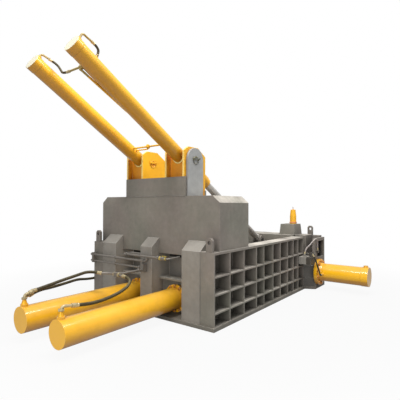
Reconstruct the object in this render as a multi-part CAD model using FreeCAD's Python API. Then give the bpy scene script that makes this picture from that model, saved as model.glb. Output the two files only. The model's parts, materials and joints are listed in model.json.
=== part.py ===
import FreeCAD, Part
import math
import os

# Recycling baler: a ribbed press box with two main cylinders at the near end, a lid worked by two
# long trunnion-mounted cylinders over a tower, a side cylinder and a bale gate at the far end.
# Millimetres. X runs along the box from the near end to the far end, Y across it, Z up.
# The origin lies on the floor, in the middle of the box's length and width.

V = FreeCAD.Vector
X_AXIS = V(1, 0, 0)
Y_AXIS = V(0, 1, 0)
Z_AXIS = V(0, 0, 1)

# ---------------------------------------------------------------- driving dimensions

# running gaps
running_gap = 0.3          # between bodies that slide or stand beside each other
fit_gap = 0.05             # radial, between a pin or rod and its bore
side_gap = 9.0             # between the box walls and the lid or the pushers

# box
rib_bays = (390, 385, 385, 250, 330, 290, 315, 255, 230, 270)
shelf_heights = (222, 463, 702)
body_width = 2550
wall_height = 1000         # underside of the top flange
flange_thickness = 33
rib_depth = 200
rib_thickness = 20
liner_thickness = 36
base_thickness = 50
base_lip = 28              # how far the base shows in front of the near end
base_side_lip = 16
floor_thickness = 36
channel_width = 500        # along X, where the bale is squeezed sideways
end_wall_thickness = 150
end_wall_plate = 50
end_wall_bays = 8

# near end frame
post_widths = (325, 240, 325)
post_front_depth = 160
post_rear_depth = 240
post_front_height = 1030
post_back_height = 1160
post_rear_height = 920
bulkhead_thickness = 45
seat_plate_thickness = 50
seat_setback = 270
shelf_setback = 172
seat_height = 530
seat_shelf_thickness = 28

# tower and the trunnion supports on it
tower_setback = 160
tower_depth = 780
tower_margin = 22          # how far the tower's sides stand inside the walls' outer faces
tower_height = 1800
tower_plate = 25
tower_chamfer_across = 120
tower_chamfer_down = 100
tower_skirt_bottom = 930
vent_post_diameter = 26
vent_post_height = 92
vent_post_gap = 25         # from the bearing plate, along X and across
shield_half_width = 640
shield_rise = 287
trunnion_setback = 390
trunnion_rise = 541        # trunnion axis above the tower's top
lug_radius = 185
lug_thickness = 36
bracket_front = 235        # from the trunnion axis to the near edge
bracket_back = 290
bracket_head = 199         # bracket's top above the trunnion axis
bracket_front_chamfer = (100, 65)
bracket_back_chamfer = (190, 120)
bracket_thickness = 30
bracket_gap = 318          # clear width between a pair of brackets
keeper_length = 150
keeper_height = 34
keeper_thickness = 14
keeper_rise = 6            # above the trunnion axis
keeper_bolt_inset = 16

# lid and its cylinders
lid_cylinder_y = 432
rod_pin_setback = 2797     # rod pin, from the near end face
rod_pin_height = 956
hinge_height = 950
lid_bottom = 680
lid_plate = 45
lid_rib_height = 170
lid_rib_thickness = 25
lid_cross_bays = 5
lid_long_bays = 6
lid_near_clearance = 75    # from the hinge axis to the panel
hinge_pin_diameter = 90
hinge_knuckle_width = 140
hinge_knuckle_radius = 80
hinge_knuckle_spacing = 620
hinge_web_depth = 90
hinge_beam_gap = 85        # from the hinge axis to the beam
hinge_beam_under = 120     # how far the beam reaches under the tower
lid_arm_half_height = 60
lid_arm_relief = 10        # lid's knuckle, smaller in radius than the fixed one
lid_barrel_diameter = 208
lid_bore_diameter = 160
lid_rod_diameter = 120
lid_barrel_back = 2280     # from the trunnion axis to the cap end
lid_barrel_front = 575     # from the trunnion axis to the gland
lid_gland_length = 60
lid_gland_diameter = 188
lid_gland_plug = 80
lid_cap_thickness = 50
lid_cap_band_step = 8      # larger in diameter than the barrel
lid_cap_band_length = 95
lid_piston_length = 90
lid_piston_front = 485     # from the trunnion axis to the piston's rod side, lid closed
trunnion_diameter = 90
saddle_half_length = 140
saddle_drop = 290
saddle_rise = 40
saddle_gap = 1.5
saddle_chamfer = (60, 90)
rod_eye_radius = 85
rod_eye_width = 90
rod_pin_diameter = 70
rod_lug_thickness = 40
rod_lug_half_foot = 150
rod_lug_gap = 2
rod_pin_overhang = 12
rod_tongue = 130
rod_eye_relief = 5         # rod's eye, smaller in radius than the lugs' ends
lid_port_inset = 42        # feed port, from the cap end
lid_rod_port = 460         # rod end port, from the trunnion axis
lid_boss_diameter = 60
lid_boss_top = 126         # port bosses, above the cylinder's axis

# main ram
main_cylinder_y = 403
main_cylinder_height = 262
main_barrel_diameter = 324
main_bore_diameter = 250
main_rod_diameter = 180
main_rod_hole = 210        # in the seat and the bulkhead
main_barrel_length = 1985
main_cap_thickness = 60
main_flange_diameter = 410
main_flange_thickness = 50
main_bolt_circle = 370
main_bolt_count = 12
main_gland_length = 110
main_piston_length = 120
pusher_setback = 480
pusher_length = 1020
pusher_height = 560
pusher_plate = 60
pusher_pocket_depth = 200
pusher_long_bays = 3
pusher_cross_bays = 5
main_port_inset = 50       # feed port, from the cap end face
main_boss_diameter = 92
main_piston_back = 15      # piston behind the cap end, drawn back

# side ram
side_axis_setback = 3360
side_axis_height = 330
side_barrel_diameter = 347
side_bore_diameter = 280
side_rod_diameter = 200
side_rod_hole = 220
side_barrel_length = 960
side_cap_thickness = 70
side_cap_length = 120
side_cap_step = 12         # larger in diameter than the barrel
side_cone_length = 60
side_boss_diameter = 80
side_boss_rise = 34
side_port_diameter = 52
side_port_reach = 60       # out of the barrel
side_port_setback = 150    # from the frame
side_port_drop = 15        # under the axis
side_flange_diameter = 515
side_flange_thickness = 60
side_bolt_circle = 440
side_bolt_count = 10
side_frame_reach = 200     # how far the side ram's frame stands out from the wall
side_frame_plate = 60
side_frame_cheek = 30
side_nose_thickness = 30
side_ram_length = 300
side_ram_height = 560
side_gland_length = 110
side_piston_length = 110
side_piston_back = 8
gusset_width = 110
gusset_rise = 10           # gusset's top above the highest shelf's middle
side_window_posts = (105, 55)      # left standing at the near and far edge
side_window_heights = (620, 940)
gusset_lip = 12
gusset_plate = 40
gusset_shelf = 16

# channel cover, gate and lock
cover_rise = 55            # cover's top above the walls' underside of flange
gate_plate = 60
gate_setback = 20          # from the box's inner face to the gate
gate_guide_width = 80
gate_travel = 560
gate_lug_height = 45
gate_lug_width = 120
gate_lug_inset = 5
gate_cylinder_diameter = 130
gate_rod_diameter = 70
gate_cylinder_wall = 15
gate_cylinder_cap = 24
gate_cylinder_spare = 90   # barrel's length over the travel
gate_foot_step = 70        # larger in diameter than the barrel
gate_foot_height = 25
gate_piston_length = 50
gate_crosshead = 60
lock_setback = 3440
lock_y = -915
lock_mount_top = 1270
lock_mount_size = (400, 330)
lock_mount_top_size = (350, 295)
lock_mount_offset = 60     # pedestal's middle, from the lock's axis towards -X
lock_mount_side = 30       # and towards +Y
lock_barrel_diameter = 132
lock_barrel_top = 100
lock_barrel_length = 300
lock_barrel_wall = 14
lock_barrel_spare = 85     # straight part's length over the travel
lock_foot_step = 12        # larger in diameter than the barrel
lock_foot_height = 22
lock_tip_diameter = 26
lock_tip_height = 56
lock_piston_length = 60
lock_piston_gap = 12       # over the travel
lock_pocket_gap = 5
lock_pin_diameter = 70
bolt_travel = 80
bolt_size = (120, 80)      # across and high
bolt_above_lid = 10
bolt_inset = 8             # bolt's end inside the cover, drawn back
wedge_width = 100
wedge_roof = 25            # cover left above the wedge
wedge_tail = 45            # from the lock cylinder's axis to the wedge's far face

# lifting lugs
lift_lug_inset = 90        # lug's middle, from the box's outer face
lift_lug_setback = 8
lift_lug_chamfer = 31
lift_lug_width = 110
lift_lug_height = 191
lift_lug_thickness = 40
lift_hole_diameter = 56
lift_hole_height = 126     # above the flange

# pipes, bolts and the valve block
pipe_diameter = 34
small_pipe_diameter = 26
pipe_standoff = 55         # pipe axis in front of the end frame
pipe_bend = 36
wall_pipe_gap = 30         # from the wall's outer face to a pipe's axis
pipe_return = 150          # how far the corner pipes run back along the wall
upper_pipe_end = (-70, 62) # its last y, and how far it turns up there
top_pipe_y = (444, -330)   # from the left post to the stop valve
top_pipe_return = 145
top_pipe_bend = 40
stop_valve_length = 120
stop_valve_step = 16       # larger in diameter than its pipe
outlet_run = 50
outlet_step = (45, 12)     # across and up, on the way back to the post
short_pipe_length = 290
short_pipe_setback = 62
short_pipe_rise = 8
manifold_y = (-28, 38)
manifold_front = 30        # in front of the pipes' axes
manifold_drop = 32         # under the feed pipe's axis
manifold_gap = 26          # under the upper pipe
corner_clamp_y = (75, 35)  # inside the wall's outer face
corner_clamp_width = 48
corner_clamp_ends = (30, 34)
thin_pipe_diameter = 20
top_pipe_height = 889
upper_pipe_height = 816
lower_pipe_height = 712
feed_pipe_height = 686
wall_hose_height = 388
wall_pipe_length = 760
tee_reach = 560
tee_size = 62
tee_y = 5
tee_arm_run = 135
tee_arm_end = 120
tee_arm_bend = 50
main_boss_rise = 26
neck_foot_diameter = 72
neck_top_step = 6
neck_height = 55
collar_step = 16
collar_length = 46
elbow_reach = 110
elbow_rise = 108
elbow_bend = 38
right_elbow_extra = 70
branch_drop = 30           # wall hose's branch under the left elbow
branch_length = 115
branch_diameter = 32
wall_hose_gap = 5
wall_hose_setback = 60
wall_clamp = (36, 9, 60)   # along X, out of the wall, and high
lid_tee_back = 1996        # tee on the right lid cylinder, from the trunnion axis
lid_hose_end_y = -25
lid_landing_back = 1966
lid_pipe_drop = 21
lid_feed_rise = 54         # stub over the port boss
lid_feed_run = 120
lid_feed_bend = 28
lid_stub_rise = (88, 106)
lid_stub_run = 145
lid_stub_bend = 30
lid_landing_diameter = 46
lid_tee_length = 52
lid_tee_height = 48
lid_tee_y = (60, 64)       # from the cylinder's axis, and past the barrel
thin_pipe_y = 120          # from the right cylinder's axis
thin_pipe_way = ((1230, 116, -38), (1060, 120, 40))
thin_pipe_bend = 120
cross_back = 420           # cross pipe, from the trunnion axis
cross_rise = 20
cross_tee = (50, 44, 48)
loop_back = 352
loop_rise = 30
loop_y = (70, 24)
rod_elbow = (27, 70, 34)   # up, back and up again
rod_elbow_bend = 22
arch_end_height = 770
big_bolt_across = 46
big_bolt_head = 26
small_bolt_across = 28
small_bolt_head = 16
valve_setback = 2850
valve_size = (240, 240, 140)
valve_bottom = 528
valve_plug = (34, 26)      # diameter and height
valve_plug_places = ((40, 110), (196, 190))
relief_place = (62, 90, 22)    # along X, out of the wall, above the block
relief_reach = 38
drop_place = (112, 40)
drop_reach = 45
drop_leg = 36
arch_landing = (40, 50)    # width and height

# hoses
hose_diameter = 42
lid_hose_diameter = 30
thin_hose_diameter = 24

# lengths worked out from the above
rib_wall_length = sum(rib_bays)
body_length = rib_wall_length + channel_width + end_wall_thickness
near_x = -body_length / 2.0
far_x = near_x + body_length
half_width = body_width / 2.0
wall_depth = rib_depth + liner_thickness
inner_y = half_width - wall_depth
flange_top = wall_height + flange_thickness
post_back_x = near_x + post_front_depth + post_rear_depth
floor_top = base_thickness + floor_thickness
channel_x0 = near_x + rib_wall_length
channel_x1 = channel_x0 + channel_width
tower_x0 = near_x + tower_setback
tower_x1 = tower_x0 + tower_depth
trunnion_height = tower_height + trunnion_rise
shield_height = tower_height + shield_rise
bracket_top = trunnion_height + bracket_head
trunnion = V(near_x + trunnion_setback, 0, trunnion_height)
rod_pin = V(near_x + rod_pin_setback, 0, rod_pin_height)

# The lid hinge is as far from the trunnion axis as from the rod pin. The cylinders then always
# turn through exactly half of the lid's angle, and the rods stay in line with the barrels.
hinge_x = (rod_pin.x ** 2 - trunnion.x ** 2
           + (rod_pin_height - hinge_height) ** 2
           - (trunnion_height - hinge_height) ** 2) / (2.0 * (rod_pin.x - trunnion.x))
hinge = V(hinge_x, 0, hinge_height)
lid_x0 = hinge_x + lid_near_clearance
lid_x1 = channel_x0 - 20
lid_half_width = inner_y - side_gap
rod_span = rod_pin.sub(trunnion).Length
lid_slope_deg = math.degrees(math.atan2(trunnion_height - rod_pin_height,
                                        rod_pin.x - trunnion.x))

lug_inner_y = lid_cylinder_y + bracket_gap / 2.0 + bracket_thickness + 3
lid_port_back = lid_barrel_back - lid_port_inset
lid_plate_top = lid_bottom + lid_plate
lid_top = lid_plate_top + lid_rib_height
rod_lug_inner = rod_eye_width / 2.0 + rod_lug_gap
pusher_x0 = near_x + pusher_setback
pusher_x1 = pusher_x0 + pusher_length
seat_x = near_x + seat_setback
main_front_x = seat_x
main_cap_x = main_front_x - main_barrel_length
side_axis_x = near_x + side_axis_setback
side_frame_y = -half_width - side_frame_reach
side_ram_y1 = -inner_y
side_ram_y0 = side_ram_y1 - side_ram_length
cover_top = wall_height + cover_rise
lock_axis_x = near_x + lock_setback
lock_bore_diameter = lock_barrel_diameter - 2 * lock_barrel_wall
bolt_z0 = lid_top + bolt_above_lid
bolt_z1 = bolt_z0 + bolt_size[1]
wedge_z0 = bolt_z0 + bolt_size[1] / 2.0
wedge_z1 = cover_top - wedge_roof
wedge_reach = wedge_z1 - wedge_z0 + 5      # wedge's top, on the bolt's side of the axis

os.makedirs("parts", exist_ok=True)
parts = {}


# ---------------------------------------------------------------- shape helpers

def box(x0, x1, y0, y1, z0, z1):
    return Part.makeBox(x1 - x0, y1 - y0, z1 - z0, V(x0, y0, z0))


def rod(start, direction, diameter, length):
    return Part.makeCylinder(diameter / 2.0, length, start, direction)


def ring(start, direction, outer, inner, length):
    hole = rod(start, direction, inner, length)
    return rod(start, direction, outer, length).cut(hole)


def plate(points, direction, thickness):
    """A flat plate with straight edges through the points, thickened along direction."""
    outline = Part.makePolygon([V(*p) for p in points] + [V(*points[0])])
    return Part.Face(outline).extrude(direction * thickness)


def fuse(shapes):
    joined = shapes[0].fuse(shapes[1:]) if len(shapes) > 1 else shapes[0]
    return joined.removeSplitter()


def cut(shape, tools):
    return shape.cut(Part.makeCompound(tools))


def group(shapes):
    return Part.makeCompound(shapes)


def mirrored(shape):
    """The same piece on the other side of the centre line."""
    return shape.mirror(V(0, 0, 0), Y_AXIS)


def hex_head(centre, axis, across, height):
    """A hexagon bolt head standing on centre, pointing along axis."""
    corner = across / math.sqrt(3)
    points = [V(corner * math.cos(math.radians(60 * i)),
                corner * math.sin(math.radians(60 * i)), 0) for i in range(6)]
    prism = Part.Face(Part.makePolygon(points + [points[0]])).extrude(V(0, 0, height))
    prism.Placement = FreeCAD.Placement(centre, FreeCAD.Rotation(Z_AXIS, axis))
    return prism


def bolt_ring(centre, axis, circle, count, across, height, start_deg=0.0):
    """Bolt heads spaced evenly on a circle about axis."""
    side = V(0, 0, 1) if abs(axis.z) < 0.5 else V(1, 0, 0)
    heads = []
    for i in range(count):
        turn = FreeCAD.Rotation(axis, start_deg + 360.0 * i / count)
        place = centre.add(turn.multVec(side) * (circle / 2.0))
        heads.append(hex_head(place, axis, across, height))
    return heads


def smooth_path(points, bend=None):
    """Straight runs joined by tangent arcs. Without a bend radius, each arc is as large as its
    two runs allow. Returns the wire and the arcs' radii."""
    edges = []
    radii = []
    here = points[0]
    for before, corner, after in zip(points, points[1:], points[2:]):
        back = before.sub(corner)
        ahead = after.sub(corner)
        turn = math.pi - back.getAngle(ahead)
        run = min(back.Length, ahead.Length)
        radius = bend if bend else 0.45 * run / math.tan(turn / 2.0)
        reach = radius * math.tan(turn / 2.0)
        back.normalize()
        ahead.normalize()
        start = corner.add(back * reach)
        end = corner.add(ahead * reach)
        middle = back.add(ahead)
        middle.normalize()
        mid = corner.add(middle * (radius / math.cos(turn / 2.0) - radius))
        edges.append(Part.LineSegment(here, start).toShape())
        edges.append(Part.Arc(start, mid, end).toShape())
        radii.append(radius)
        here = end
    edges.append(Part.LineSegment(here, points[-1]).toShape())
    return Part.Wire(edges), radii


def swept_tube(points, diameter, bend=None):
    path, radii = smooth_path(points, bend)
    direction = points[1].sub(points[0])
    section = Part.Wire(Part.makeCircle(diameter / 2.0, points[0], direction))
    return path.makePipeShell([section], True, False), path, radii


def pipe(points, diameter, bend):
    return swept_tube(points, diameter, bend)[0]


def hose(name, points, diameter):
    solid, path, radii = swept_tube(points, diameter)
    expected = math.pi * diameter ** 2 / 4.0 * path.Length
    print("%s length %.0f radii %s volume ratio %.4f" % (
        name, path.Length, [round(r) for r in radii], solid.Volume / expected))
    return solid


def on_lid_axis(shape, y):
    """Moves a piece drawn about the X axis to a lid cylinder's axis, trunnion at its origin."""
    placed = shape.copy()
    placed.rotate(V(0, 0, 0), Y_AXIS, lid_slope_deg)
    placed.translate(V(trunnion.x, y, trunnion.z))
    return placed


def lid_point(along, y, above):
    """A point given along and above a lid cylinder's axis, at its own distance y."""
    turn = FreeCAD.Rotation(Y_AXIS, lid_slope_deg)
    moved = turn.multVec(V(along, 0, above))
    return V(trunnion.x + moved.x, y, trunnion.z + moved.z)


# ---------------------------------------------------------------- press box

def make_base():
    slab = box(near_x - base_lip, far_x, -half_width - base_side_lip,
               half_width + base_side_lip, 0, base_thickness)
    side_foot = plate([(channel_x0, -half_width, 0), (channel_x0 + gusset_width, side_frame_y, 0),
                       (far_x, side_frame_y, 0), (far_x, -half_width, 0)],
                      Z_AXIS, base_thickness)
    return fuse([slab, side_foot])


def make_floor():
    return box(post_back_x, channel_x1, -inner_y, inner_y, base_thickness, floor_top)


def make_side_wall():
    """The wall at -Y: a liner with upright ribs, shelves and a top flange outside it."""
    outer = -half_width
    x_end = near_x + rib_wall_length
    pieces = [box(near_x, x_end, outer + rib_depth, -inner_y, base_thickness, flange_top)]
    pieces.append(box(near_x, x_end, outer, outer + rib_depth, wall_height, flange_top))
    for height in shelf_heights:
        pieces.append(box(near_x, x_end, outer, outer + rib_depth,
                          height - rib_thickness / 2.0, height + rib_thickness / 2.0))
    x = near_x
    for i in range(len(rib_bays) + 1):
        thickness = rib_thickness if i < len(rib_bays) else rib_thickness / 2.0
        start = x if i == 0 else x - rib_thickness / 2.0
        pieces.append(box(start, start + thickness, outer, outer + rib_depth,
                          base_thickness, wall_height))
        if i < len(rib_bays):
            x += rib_bays[i]
    return fuse(pieces)


def make_post(y0, y1):
    """A box post with a sloping cap in front of the tower and a lower part under it."""
    outline = [
        (near_x, y0, base_thickness),
        (near_x, y0, post_front_height),
        (near_x + post_front_depth, y0, post_back_height),
        (near_x + post_front_depth, y0, post_rear_height),
        (post_back_x, y0, post_rear_height),
        (post_back_x, y0, base_thickness),
    ]
    return plate(outline, Y_AXIS, y1 - y0)


def make_bulkhead():
    x0 = post_back_x
    slab = box(x0, x0 + bulkhead_thickness, -inner_y, inner_y, floor_top, wall_height)
    holes = [rod(V(x0 - 1, y, main_cylinder_height), X_AXIS, main_rod_hole,
                 bulkhead_thickness + 2) for y in (-main_cylinder_y, main_cylinder_y)]
    return cut(slab, holes)


def make_cylinder_seat(y0, y1, axis_y):
    """The thick plate that a main cylinder is bolted to, with the shelf behind its top edge."""
    x0 = seat_x
    x1 = post_back_x
    face = box(x0, x0 + seat_plate_thickness, y0, y1, base_thickness, seat_height)
    shelf = box(near_x + shelf_setback, x1, y0, y1, seat_height,
                seat_height + seat_shelf_thickness)
    hole = rod(V(x0 - 1, axis_y, main_cylinder_height), X_AXIS, main_rod_hole,
               seat_plate_thickness + 2)
    return fuse([face, shelf]).cut(hole)


def make_lift_lugs():
    lugs = []
    for x0 in (near_x + lift_lug_setback, far_x - lift_lug_thickness - lift_lug_setback):
        for side in (-1, 1):
            y0 = side * (half_width - lift_lug_inset) - lift_lug_width / 2.0
            chamfer = lift_lug_chamfer
            top = flange_top + lift_lug_height
            outline = [
                (x0, y0, flange_top),
                (x0, y0, top - chamfer),
                (x0, y0 + chamfer, top),
                (x0, y0 + lift_lug_width - chamfer, top),
                (x0, y0 + lift_lug_width, top - chamfer),
                (x0, y0 + lift_lug_width, flange_top),
            ]
            eye = rod(V(x0 - 1, y0 + lift_lug_width / 2.0, flange_top + lift_hole_height),
                      X_AXIS, lift_hole_diameter, lift_lug_thickness + 2)
            lugs.append(plate(outline, X_AXIS, lift_lug_thickness).cut(eye))
    return lugs


# ---------------------------------------------------------------- tower and trunnion supports

def tower_outline(x, inset, bottom):
    side = half_width - tower_margin - inset
    top = tower_height - inset
    return [
        (x, -side, bottom),
        (x, -side, top - tower_chamfer_down),
        (x, -side + tower_chamfer_across, top),
        (x, side - tower_chamfer_across, top),
        (x, side, top - tower_chamfer_down),
        (x, side, bottom),
    ]


def make_tower():
    shell = plate(tower_outline(tower_x0, 0, flange_top), X_AXIS, tower_depth)
    hollow = plate(tower_outline(tower_x0 + tower_plate, tower_plate, flange_top - 1), X_AXIS,
                   tower_depth - 2 * tower_plate)
    skirt = box(tower_x0, tower_x0 + tower_plate, -inner_y, inner_y,
                tower_skirt_bottom, flange_top)
    vent = rod(V(trunnion.x + lug_radius + vent_post_gap,
                 -lug_inner_y - lug_thickness - vent_post_gap, tower_height),
               Z_AXIS, vent_post_diameter, vent_post_height)
    return fuse([shell.cut(hollow), skirt, vent])


def make_shield():
    return box(tower_x0, tower_x0 + tower_plate, -shield_half_width, shield_half_width,
               tower_height, shield_height)


def trunnion_bore(y0, length):
    return rod(V(trunnion.x, y0, trunnion.z), Y_AXIS, trunnion_diameter + 2 * fit_gap, length)


def make_trunnion_lug():
    """The round-topped bearing plate outside the cylinders, at -Y."""
    y0 = -lug_inner_y - lug_thickness
    body = box(trunnion.x - lug_radius, trunnion.x + lug_radius, y0, y0 + lug_thickness,
               tower_height, trunnion.z)
    top = rod(V(trunnion.x, y0, trunnion.z), Y_AXIS, 2 * lug_radius, lug_thickness)
    return fuse([body, top]).cut(trunnion_bore(y0 - 1, lug_thickness + 2))


def make_bracket(y0):
    """One of the chamfered plates that stand each side of a lid cylinder."""
    x0 = trunnion.x - bracket_front
    x1 = trunnion.x + bracket_back
    behind_shield = tower_x0 + tower_plate
    outline = [
        (behind_shield, y0, tower_height),
        (behind_shield, y0, shield_height),
        (x0, y0, shield_height),
        (x0, y0, bracket_top - bracket_front_chamfer[1]),
        (x0 + bracket_front_chamfer[0], y0, bracket_top),
        (x1 - bracket_back_chamfer[0], y0, bracket_top),
        (x1, y0, bracket_top - bracket_back_chamfer[1]),
        (x1, y0, tower_height),
    ]
    return plate(outline, Y_AXIS, bracket_thickness).cut(
        trunnion_bore(y0 - 1, bracket_thickness + 2))


bracket_inner_y = lid_cylinder_y - bracket_gap / 2.0 - bracket_thickness
bracket_outer_y = lid_cylinder_y + bracket_gap / 2.0


def keeper(y, outward):
    """A bar bolted over a trunnion's end, and its two bolts."""
    y0 = y if outward > 0 else y - keeper_thickness
    z0 = trunnion.z + keeper_rise
    bar = box(trunnion.x - keeper_length / 2.0, trunnion.x + keeper_length / 2.0,
              y0, y0 + keeper_thickness, z0, z0 + keeper_height)
    bolts = [hex_head(V(trunnion.x + side * (keeper_length / 2.0 - keeper_bolt_inset),
                        y + outward * keeper_thickness, z0 + keeper_height / 2.0),
                      V(0, outward, 0), small_bolt_across, small_bolt_head)
             for side in (-1, 1)]
    return bar, bolts


def make_keepers():
    bars = []
    bolts = []
    outer_y = lug_inner_y + lug_thickness
    for y, outward in ((-outer_y, -1), (outer_y, 1),
                       (-bracket_inner_y, 1), (bracket_inner_y, -1)):
        bar, pair = keeper(y, outward)
        bars.append(bar)
        bolts.extend(pair)
    return bars, bolts


# ---------------------------------------------------------------- lid and its cylinders

def make_hinge_beam():
    """Beam between the walls behind the tower, with the fixed hinge knuckles."""
    beam = box(tower_x1 - hinge_beam_under, hinge_x - hinge_beam_gap, -inner_y, inner_y,
               lid_bottom, flange_top - 1)
    knuckles = []
    for offset in (-1.5, -0.5, 0.5, 1.5):
        y = offset * hinge_knuckle_spacing - hinge_knuckle_width / 2.0
        eye = rod(V(hinge_x, y, hinge.z), Y_AXIS, 2 * hinge_knuckle_radius, hinge_knuckle_width)
        web = box(hinge_x - hinge_web_depth, hinge_x, y, y + hinge_knuckle_width,
                  hinge.z - hinge_knuckle_radius, hinge.z + hinge_knuckle_radius)
        knuckles.extend([eye, web])
    bore = rod(V(hinge_x, -inner_y, hinge.z), Y_AXIS, hinge_pin_diameter + 2 * fit_gap,
               2 * inner_y)
    return fuse([beam] + knuckles).cut(bore)


def make_hinge_pin():
    length = 2 * inner_y - 2 * running_gap
    return rod(V(hinge_x, -length / 2.0, hinge.z), Y_AXIS, hinge_pin_diameter, length)


def make_lid():
    """Ribbed press plate, its ribs left open where the rod lugs stand."""
    pieces = [box(lid_x0, lid_x1, -lid_half_width, lid_half_width, lid_bottom, lid_plate_top)]
    for i in range(lid_cross_bays + 1):
        x = lid_x0 + (lid_x1 - lid_x0 - lid_rib_thickness) * i / lid_cross_bays
        pieces.append(box(x, x + lid_rib_thickness, -lid_half_width, lid_half_width,
                          lid_plate_top, lid_top))
    for i in range(lid_long_bays + 1):
        y = -lid_half_width + (2 * lid_half_width - lid_rib_thickness) * i / lid_long_bays
        pieces.append(box(lid_x0, lid_x1, y, y + lid_rib_thickness, lid_plate_top, lid_top))
    reach = rod_lug_inner + rod_lug_thickness
    rooms = [box(rod_pin.x - rod_lug_half_foot, rod_pin.x + rod_lug_half_foot,
                 y - reach, y + reach, lid_plate_top, lid_top + 1)
             for y in (-lid_cylinder_y, lid_cylinder_y)]
    return cut(fuse(pieces), rooms)


def make_lid_arms():
    """Hinge arms between the fixed knuckles, welded to the panel's near face."""
    width = hinge_knuckle_spacing - hinge_knuckle_width - 2 * side_gap
    arms = []
    for offset in (-1, 0, 1):
        y = offset * hinge_knuckle_spacing - width / 2.0
        arm = plate([(hinge_x, y, hinge.z - lid_arm_half_height),
                     (hinge_x, y, hinge.z + lid_arm_half_height),
                     (lid_x0, y, lid_top), (lid_x0, y, lid_plate_top)], Y_AXIS, width)
        eye = rod(V(hinge_x, y, hinge.z), Y_AXIS, 2 * (hinge_knuckle_radius - lid_arm_relief),
                  width)
        bore = rod(V(hinge_x, y - 1, hinge.z), Y_AXIS, hinge_pin_diameter + 2 * fit_gap,
                   width + 2)
        room = box(lid_x0, lid_x0 + hinge_knuckle_radius, y - 1, y + width + 1,
                   lid_bottom, hinge.z + hinge_knuckle_radius)
        arms.append(cut(fuse([arm, eye]), [bore, room]))
    return arms


def make_rod_lugs():
    """Two pairs of lugs on the panel that hold the rod pins."""
    lugs = []
    for side in (-1, 1):
        for y0 in (side * lid_cylinder_y + rod_lug_inner,
                   side * lid_cylinder_y - rod_lug_inner - rod_lug_thickness):
            foot = box(rod_pin.x - rod_lug_half_foot, rod_pin.x + rod_lug_half_foot,
                       y0, y0 + rod_lug_thickness, lid_plate_top, lid_top)
            neck = box(rod_pin.x - rod_eye_radius, rod_pin.x + rod_eye_radius,
                       y0, y0 + rod_lug_thickness, lid_plate_top, rod_pin.z)
            ear = rod(V(rod_pin.x, y0, rod_pin.z), Y_AXIS, 2 * rod_eye_radius,
                      rod_lug_thickness)
            bore = rod(V(rod_pin.x, y0 - 1, rod_pin.z), Y_AXIS,
                       rod_pin_diameter + 2 * fit_gap, rod_lug_thickness + 2)
            lugs.append(fuse([foot, neck, ear]).cut(bore))
    return lugs


def make_rod_pin(y):
    reach = rod_lug_inner + rod_lug_thickness + rod_pin_overhang
    return rod(V(rod_pin.x, y - reach, rod_pin.z), Y_AXIS, rod_pin_diameter, 2 * reach)


def make_lid_barrel(y):
    """Cylinder tube closed at its cap end, with the feed boss on top."""
    tube = rod(V(-lid_barrel_back, 0, 0), X_AXIS, lid_barrel_diameter,
               lid_barrel_back + lid_barrel_front)
    cap_band = rod(V(-lid_barrel_back, 0, 0), X_AXIS, lid_barrel_diameter + lid_cap_band_step,
                   lid_cap_band_length)
    boss = rod(V(-lid_port_back, 0, 0), Z_AXIS, lid_boss_diameter, lid_boss_top)
    rod_boss = rod(V(lid_rod_port, 0, 0), Z_AXIS, lid_boss_diameter, lid_boss_top)
    bore = rod(V(-lid_barrel_back + lid_cap_thickness, 0, 0), X_AXIS, lid_bore_diameter,
               lid_barrel_back + lid_barrel_front)
    return on_lid_axis(fuse([tube, cap_band, boss, rod_boss]).cut(bore), y)


def make_lid_gland(y):
    """The screwed-in end piece that guides the rod, with its flange outside the tube."""
    plug = rod(V(lid_barrel_front - lid_gland_plug, 0, 0), X_AXIS,
               lid_bore_diameter - 2 * fit_gap, lid_gland_plug)
    head = rod(V(lid_barrel_front, 0, 0), X_AXIS, lid_gland_diameter, lid_gland_length)
    hole = rod(V(lid_barrel_front - lid_gland_plug - 1, 0, 0), X_AXIS,
               lid_rod_diameter + 4 * fit_gap, lid_gland_plug + lid_gland_length + 2)
    return on_lid_axis(fuse([plug, head]).cut(hole), y)


def make_saddle(y):
    """The open-topped block that a lid cylinder lies in, with its two journals."""
    half = bracket_gap / 2.0 - saddle_gap
    x0 = trunnion.x - saddle_half_length
    x1 = trunnion.x + saddle_half_length
    outline = [
        (x0, y - half, trunnion.z + saddle_rise),
        (x0, y - half, trunnion.z - saddle_drop),
        (x1 - saddle_chamfer[0], y - half, trunnion.z - saddle_drop),
        (x1, y - half, trunnion.z - saddle_drop + saddle_chamfer[1]),
        (x1, y - half, trunnion.z + saddle_rise),
    ]
    block = plate(outline, Y_AXIS, 2 * half)
    outer_end = lug_inner_y + lug_thickness - 1
    inner_end = bracket_inner_y + 1
    side = 1 if y > 0 else -1
    start = min(side * inner_end, side * outer_end)
    journal = rod(V(trunnion.x, start, trunnion.z), Y_AXIS, trunnion_diameter,
                  outer_end - inner_end)
    length = lid_barrel_back + lid_barrel_front
    seat = rod(V(-lid_barrel_back, 0, 0), X_AXIS, lid_barrel_diameter, length)
    radius = lid_barrel_diameter / 2.0
    mouth = box(-lid_barrel_back, lid_barrel_front, -radius, radius, 0,
                2 * (saddle_half_length + saddle_rise))
    return cut(fuse([block, journal]), [on_lid_axis(seat, y), on_lid_axis(mouth, y)])


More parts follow.
